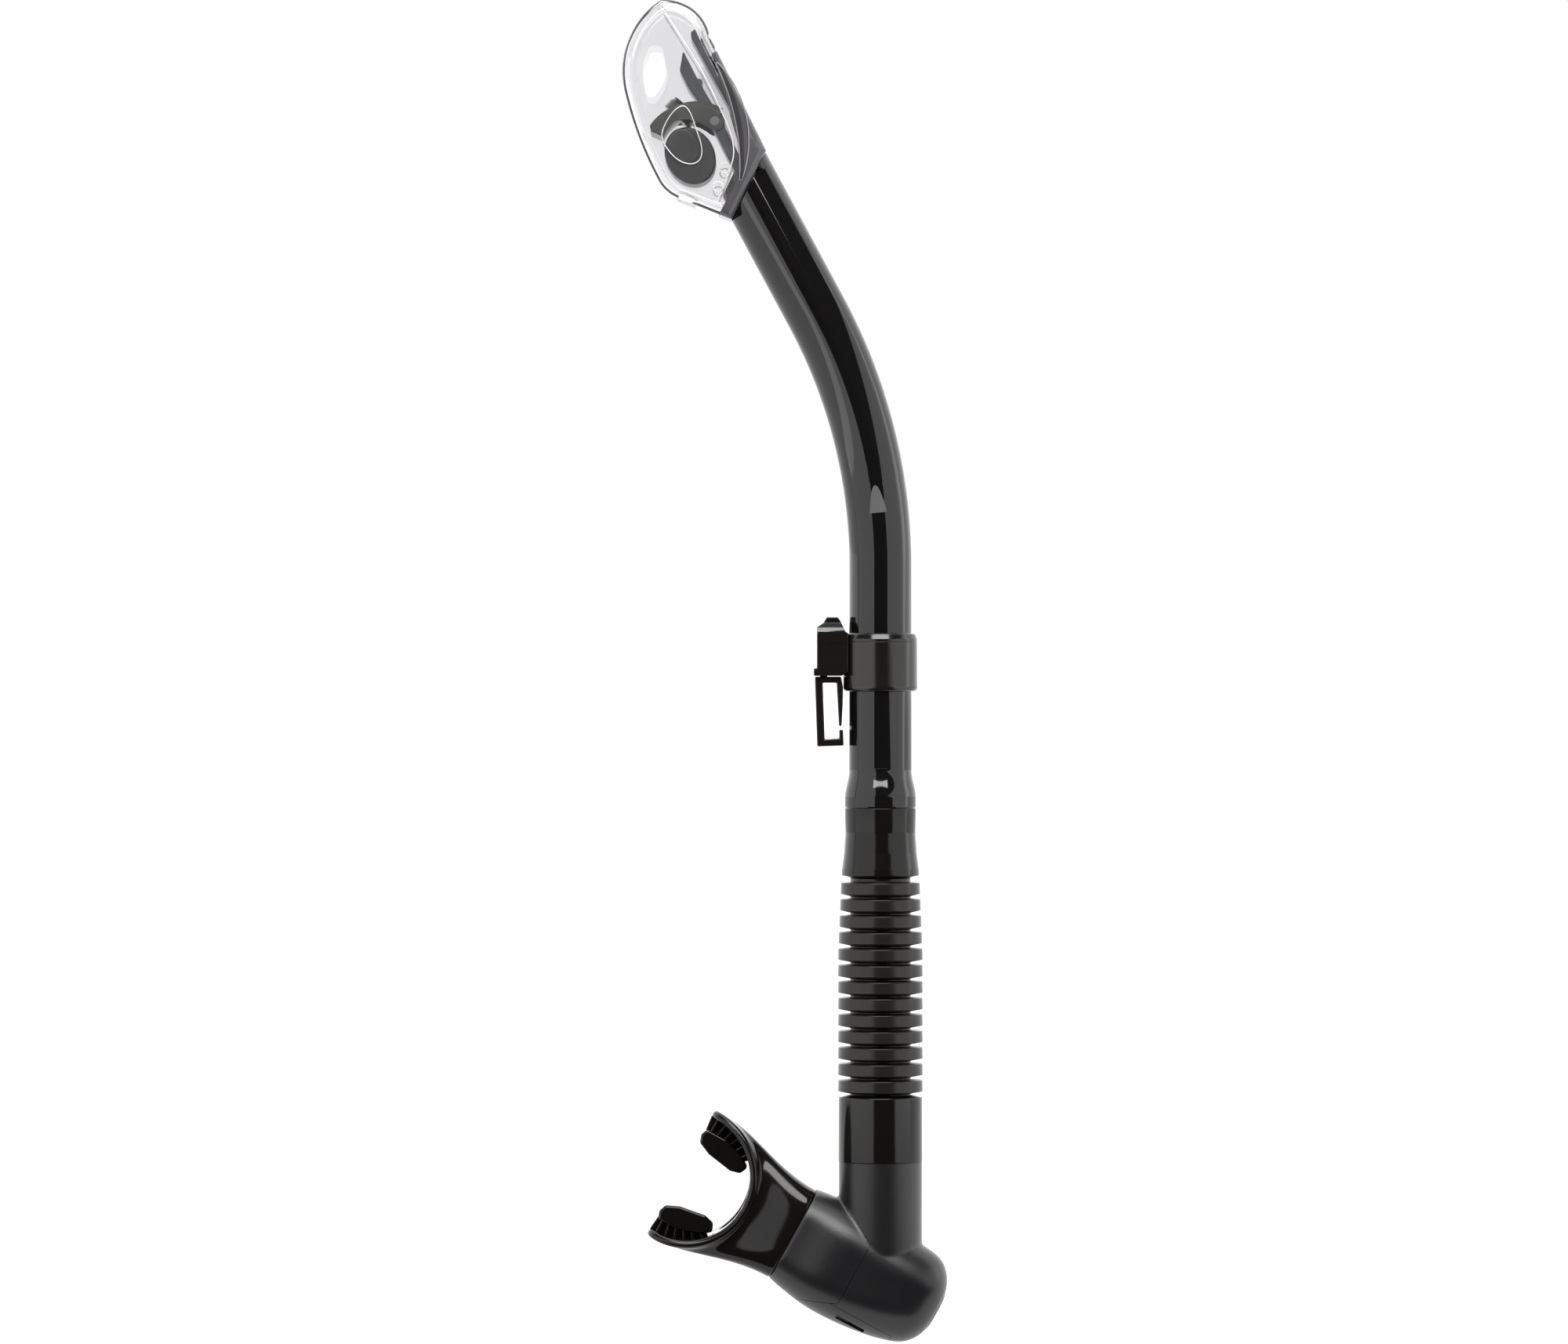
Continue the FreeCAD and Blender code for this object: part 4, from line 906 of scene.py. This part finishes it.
def elbow_shell():
    """Outside of chamber and neck, blended where they meet, hollow inside and open at the valve's hole."""
    shell = join("shell", [chamber("chamber", 0.0, CHAMBER[-1][0]),
                           neck_rod("neck", NECK_R, -186, NECK_TOP_Z + 4)])
    grid = shell.modifiers.new("grid", "REMESH")
    grid.mode = "VOXEL"
    grid.voxel_size = 0.5
    relax = shell.modifiers.new("relax", "SMOOTH")
    relax.factor = 0.5
    relax.iterations = 12
    apply_modifiers(shell)
    trims = [block(-20, 0.05, -40, 40, -40, 40)]
    top = block(-60, 80, -40, 40, NECK_TOP_Z, NECK_TOP_Z + 40)
    top.data.transform(MOUTH_FRAME.inverted())
    above_floor = block(-10, 70, -40, 40, COVER_TOP + 2.0, 40)
    hollow = boolean(chamber("hollow", -1.0, 54.0, ELBOW_WALL), "INTERSECT", [above_floor])
    belly = block(COVER_FROM + COVER_WALL, COVER_TO - COVER_WALL, -40, 40, -30, COVER_TOP + 0.1)
    below = boolean(chamber("below", 1.0, 52.0, COVER_WALL), "INTERSECT", [belly])
    hole = upright("hole", PURGE_HOLE_R, PURGE_ALONG, COVER_TOP + 0.05, -5, 96)
    bore = neck_rod("bore", NECK_BORE_R, -182, -120)
    return boolean(shell, "DIFFERENCE", trims + [top, hollow, below, bore, hole])


def elbow():
    shell = elbow_shell()
    collar = copy_of(shell, "collar")
    boolean(collar, "INTERSECT", [collar_region()])
    finish_piece(collar, "collar_sleeve", "elbow", "elbow_matte", ["collar_shell"], MOUTH_FRAME, 38)

    cover = copy_of(shell, "cover")
    boolean(cover, "INTERSECT", [cover_region()])
    boolean(cover, "DIFFERENCE", [collar_region(SEAM_GAP)])
    ports = []
    for side in (-1, 1):
        outline = filleted([(26.5, PORT_LOW, 0.5), (37.5, PORT_LOW, 0.5), (37.5, PORT_HIGH, 0.5),
                            (26.5, PORT_HIGH, 0.5)])
        scoop = filleted([(27.0, -17.4, 0.8), (39.5, -17.4, 0.8), (38.0, -14.9, 1.6), (28.0, -14.9, 1.6)])
        ports.append(prism("port", outline, *sorted((side * 4.0, side * 30.0))))
        ports.append(prism("scoop", scoop, *sorted((side * 14.2, side * 30.0))))
    disc_room = upright("room", DISC_ROOM_R, PURGE_ALONG, PORT_HIGH, PORT_HIGH + 10.0, 96)
    boolean(cover, "DIFFERENCE", ports + [disc_room])
    finish_piece(cover, "belly_cover", "elbow", "elbow_matte", ["purge_cover"], MOUTH_FRAME, 38)

    boolean(shell, "DIFFERENCE", [collar_region(SEAM_GAP), cover_region(SEAM_GAP)])
    finish_piece(shell, "elbow_chamber", "elbow", "elbow_matte", ["elbow_body"], MOUTH_FRAME, 38)


# ---------------------------------------------------------------- mouthpiece
def lobe(turn, half_q, half_y, power):
    """Point (q, y) of a squarish oval."""
    c, s = math.cos(turn), math.sin(turn)
    return (half_q * math.copysign(abs(s) ** (2 / power), s),
            half_y * math.copysign(abs(c) ** (2 / power), c))


def on_arch(radius, angle, y):
    return Vector((ARCH_CENTRE + radius * math.cos(angle), y, radius * math.sin(angle)))


def mouthpiece_ring(turn):
    """Closed loop of points from the seam over the flare, round the lip, and back through the bore."""
    c, s = math.cos(turn), math.sin(turn)
    seam_q, seam_y = lobe(turn, 17.1, SEAM_HALF_Y, 3.8)
    arch_angle, rim_y = lobe(turn, math.radians(92.5), 10.6, 3.0)
    bore_angle, bore_y = lobe(turn, math.radians(31), 6.6, 2.6)
    bore_q, bore_end_y = lobe(turn, 12.0, 9.4, 3.0)
    outward = Vector((-math.sin(arch_angle) * s, c, math.cos(arch_angle) * s)).normalized()
    points = [Vector((0.02, seam_y * 0.965, seam_q * 0.965)), Vector((-0.1, seam_y * 0.985, seam_q * 0.985))]
    start = Vector((-0.5, seam_y, seam_q))
    end = on_arch(FLANGE_OUTER_R, arch_angle, rim_y)
    lead = start + Vector((-(6.0 + 10.5 * abs(s)), 0, 0))
    trail = end - outward * (2.2 + 11.8 * abs(s))
    for k in range(33):
        t = k / 32
        points.append(start * (1 - t) ** 3 + lead * 3 * t * (1 - t) ** 2
                      + trail * 3 * t * t * (1 - t) + end * t ** 3)
    middle = (FLANGE_OUTER_R + FLANGE_INNER_R) / 2
    lip = (FLANGE_OUTER_R - FLANGE_INNER_R) / 2
    for k in range(1, 12):
        swing = math.pi * k / 12
        points.append(on_arch(middle + lip * math.cos(swing), arch_angle, rim_y)
                      + outward * lip * math.sin(swing))
    for k in range(13):
        t = k / 12
        points.append(on_arch(FLANGE_INNER_R, arch_angle + (bore_angle - arch_angle) * t,
                              rim_y + (bore_y - rim_y) * t))
    mouth = on_arch(FLANGE_INNER_R, bore_angle, bore_y)
    inner = Vector((0.02, bore_end_y, bore_q))
    for k in range(1, 13):
        t = k / 12
        share = t * t * (3 - 2 * t)
        points.append(Vector((mouth.x + (inner.x - mouth.x) * t, mouth.y + (inner.y - mouth.y) * share,
                              mouth.z + (inner.z - mouth.z) * share)))
    return points


def bite_lug(side):
    """Bite pad with its ribbed groove, on the upper (1) or lower (-1) arm."""
    pad = [(-44.0, 15.0), (-43.0, 17.6), (-35.6, 17.6), (-28.8, 15.3), (-24.3, 12.8), (-25.8, 9.6),
           (-29.3, 8.7), (-38.5, 10.2), (-43.0, 12.2)]
    parts = [prism("pad", filleted([(a, side * b, 1.6) for a, b in pad], 4), -6.2, 6.2, 0.9)]
    centre = (ARCH_CENTRE, 0.0)
    web = arc(centre, FLANGE_INNER_R + 0.6, 42, 96) + arc(centre, 14.5, 96, 42)
    parts.append(prism("web", [(a, side * b) for a, b in web], -2.2, 2.2, 0.4))
    for k in range(6):
        angle = 47 + 8.4 * k
        near, far = polar(centre, 15.6, angle), polar(centre, FLANGE_INNER_R + 0.5, angle)
        along = Vector((far[0] - near[0], far[1] - near[1])).normalized() * 0.55
        rib = [(near[0] - along.y, near[1] + along.x), (near[0] + along.y, near[1] - along.x),
               (far[0] + along.y, far[1] - along.x), (far[0] - along.y, far[1] + along.x)]
        parts.append(prism("rib", [(a, side * b) for a, b in rib], -4.4, 4.4, 0.35))
    return parts


def mouthpiece():
    count = 144
    loops = [mouthpiece_ring(2 * math.pi * k / count) for k in range(count)]
    rows = [[loops[k][row] for k in range(count)] for row in range(len(loops[0]))]
    parts = [loft("flare", rows, closed=True)] + bite_lug(1) + bite_lug(-1)
    return finish_piece(join("mouthpiece", parts), "mouthpiece_skin", "elbow", "silicone_black",
                        ["mouthpiece"], MOUTH_FRAME, 40)


# ---------------------------------------------------------------- parts that keep their CAD shape
def paint_cad_nodes():
    for row in frame["record"]["subparts"]:
        node = frame["nodes"][row["node"]]
        node.data.materials.clear()
        node.data.materials.append(MATERIALS[row["material_slot"]])


# ---------------------------------------------------------------- studio
FLOOR_Z = -0.2182
FLOOR_RADIUS = 60.0
LIGHT_DISTANCE = 1.25
BOX_RADIANCE = 1.5
WALL_RADIUS = 2.0
WALL_TOP_Z = 0.3
CAMERA_PLACE = (-0.0157, -2.4, 0.0132)
CAMERA_LENS = 160.0


def world_light():
    """Pale surroundings, bright behind the object and dark in front of it for reflections."""
    world = bpy.data.worlds.new("studio")
    bpy.context.scene.world = world
    world.use_nodes = True
    tree = world.node_tree
    tree.nodes.clear()
    output = tree.nodes.new("ShaderNodeOutputWorld")
    seen = tree.nodes.new("ShaderNodeBackground")
    seen.inputs["Color"].default_value = (1, 1, 1, 1)
    seen.inputs["Strength"].default_value = 1.0
    glow = tree.nodes.new("ShaderNodeBackground")
    glow.inputs["Strength"].default_value = 1.7
    place = tree.nodes.new("ShaderNodeTexCoord")
    parts = tree.nodes.new("ShaderNodeSeparateXYZ")
    ramp = tree.nodes.new("ShaderNodeValToRGB")
    shift = tree.nodes.new("ShaderNodeMapRange")
    shift.inputs["From Min"].default_value = -1.0
    ramp.color_ramp.elements[0].position = 0.47
    ramp.color_ramp.elements[0].color = (0.03, 0.03, 0.03, 1)
    ramp.color_ramp.elements[1].position = 0.54
    ramp.color_ramp.elements[1].color = (1, 1, 1, 1)
    rays = tree.nodes.new("ShaderNodeLightPath")
    straight = tree.nodes.new("ShaderNodeMath")
    straight.operation = "MAXIMUM"
    mix = tree.nodes.new("ShaderNodeMixShader")
    tree.links.new(place.outputs["Generated"], parts.inputs["Vector"])
    tree.links.new(parts.outputs["Y"], shift.inputs["Value"])
    tree.links.new(shift.outputs["Result"], ramp.inputs["Fac"])
    tree.links.new(ramp.outputs["Color"], glow.inputs["Color"])
    tree.links.new(rays.outputs["Is Camera Ray"], straight.inputs[0])
    tree.links.new(rays.outputs["Is Transmission Ray"], straight.inputs[1])
    tree.links.new(straight.outputs["Value"], mix.inputs["Fac"])
    tree.links.new(glow.outputs["Background"], mix.inputs[1])
    tree.links.new(seen.outputs["Background"], mix.inputs[2])
    tree.links.new(mix.outputs["Shader"], output.inputs["Surface"])


def studio_floor():
    """Pale round floor under the object."""
    steps = 96
    ring = [(*polar((0, 0), FLOOR_RADIUS, 360 * k / steps), FLOOR_Z) for k in range(steps)]
    floor = new_object("studio_floor", ring, [tuple(range(steps))])
    material = bpy.data.materials.new("floor_pale")
    material.use_nodes = True
    tree = material.node_tree
    shader = tree.nodes["Principled BSDF"]
    shader.inputs["Base Color"].default_value = (0.12, 0.12, 0.12, 1)
    shader.inputs["Roughness"].default_value = 0.9
    shader.inputs["Specular IOR Level"].default_value = 0.1
    shader.inputs["Emission Color"].default_value = (1, 1, 1, 1)
    shader.inputs["Emission Strength"].default_value = 1.1
    floor.data.materials.append(material)


def black_cards():
    """Cards that only reflections see: a folded one in front of the object, and a wall behind the boxes."""
    foot, far = -0.03, -0.9
    left, right, inner = far * math.tan(math.radians(18)), -far * math.tan(math.radians(40)), 0.46
    lift = FLOOR_Z + 0.001
    points = [(-0.12, foot, lift), (0.15, foot, lift), (right, far, lift), (left, far, lift),
              (right, far, -0.05), (inner, far, 0.035), (left, far, 0.035)]
    fold = new_object("black_fold", points, [(0, 1, 2, 3), (3, 2, 4, 5, 6)])
    bend = arc((0, 0), WALL_RADIUS, -178, -2, 60)
    columns = [(x, y, z) for z in (FLOOR_Z, WALL_TOP_Z) for x, y in bend]
    count = len(bend)
    faces = [(k, k + 1, k + 1 + count, k + count) for k in range(count - 1)]
    wall = new_object("black_wall", columns, faces)
    material = bpy.data.materials.new("card_black")
    material.use_nodes = True
    shader = material.node_tree.nodes["Principled BSDF"]
    shader.inputs["Base Color"].default_value = (0.01, 0.01, 0.01, 1)
    shader.inputs["Specular IOR Level"].default_value = 0.0
    for card in (fold, wall):
        card.data.materials.append(material)
        card.visible_camera = False
        card.visible_diffuse = False
        card.visible_transmission = False
        card.visible_shadow = False


def softbox(name, azimuth, elevation, size, radiance, shift=(0.0, 0.0), roll=0.0, distance=LIGHT_DISTANCE):
    """Area light that faces the object; azimuth is counted from the camera's side.

    The light lies in the plane that faces the object at its distance, shifted in that plane
    to the right and up, and rolled about the line to the object.
    """
    light = bpy.data.lights.new(name, "AREA")
    light.shape = "RECTANGLE"
    light.size, light.size_y = size
    light.energy = radiance * math.pi * size[0] * size[1]
    ob = bpy.data.objects.new(name, light)
    facing = (Matrix.Rotation(math.radians(azimuth), 4, "Z")
              @ Matrix.Rotation(math.radians(90 - elevation), 4, "X"))
    ob.matrix_world = (facing @ Matrix.Translation((shift[0], shift[1], distance))
                       @ Matrix.Rotation(math.radians(roll), 4, "Z"))
    ob.visible_camera = False
    bpy.context.scene.collection.objects.link(ob)
    return ob


def studio():
    world_light()
    studio_floor()
    black_cards()
    softbox("left_box", -52, 0, (1.8, 0.88), BOX_RADIANCE, shift=(0.0, 0.22))
    softbox("right_box", 60, 0, (2.05, 1.05), BOX_RADIANCE, shift=(0.21, 0.13), roll=29)
    softbox("front_light", 0, 37, (1.3, 0.7), 10.0, distance=1.5)
    softbox("top_light", 0, 75, (1.2, 1.3), 3.5, distance=1.4)
    camera = bpy.data.cameras.new("camera")
    camera.lens = CAMERA_LENS
    camera.sensor_width = 36.0
    camera.clip_end = 100.0
    holder = bpy.data.objects.new("camera", camera)
    holder.location = CAMERA_PLACE
    holder.rotation_euler = (math.radians(90), 0, 0)
    bpy.context.scene.collection.objects.link(holder)
    bpy.context.scene.camera = holder
    bpy.context.scene.view_settings.view_transform = "Standard"


# ---------------------------------------------------------------- build
paint_cad_nodes()
barrel_tube()
inlet_housing()
housing_groove_floor()
housing_trim()
inlet_duct()
splash_cap()
cap_relief()
lever_cheeks()
float_drum()
float_ends()
keeper_band()
clip_receiver()
release_tab()
strap_hook()
flex_hose()
elbow()
mouthpiece()
studio()
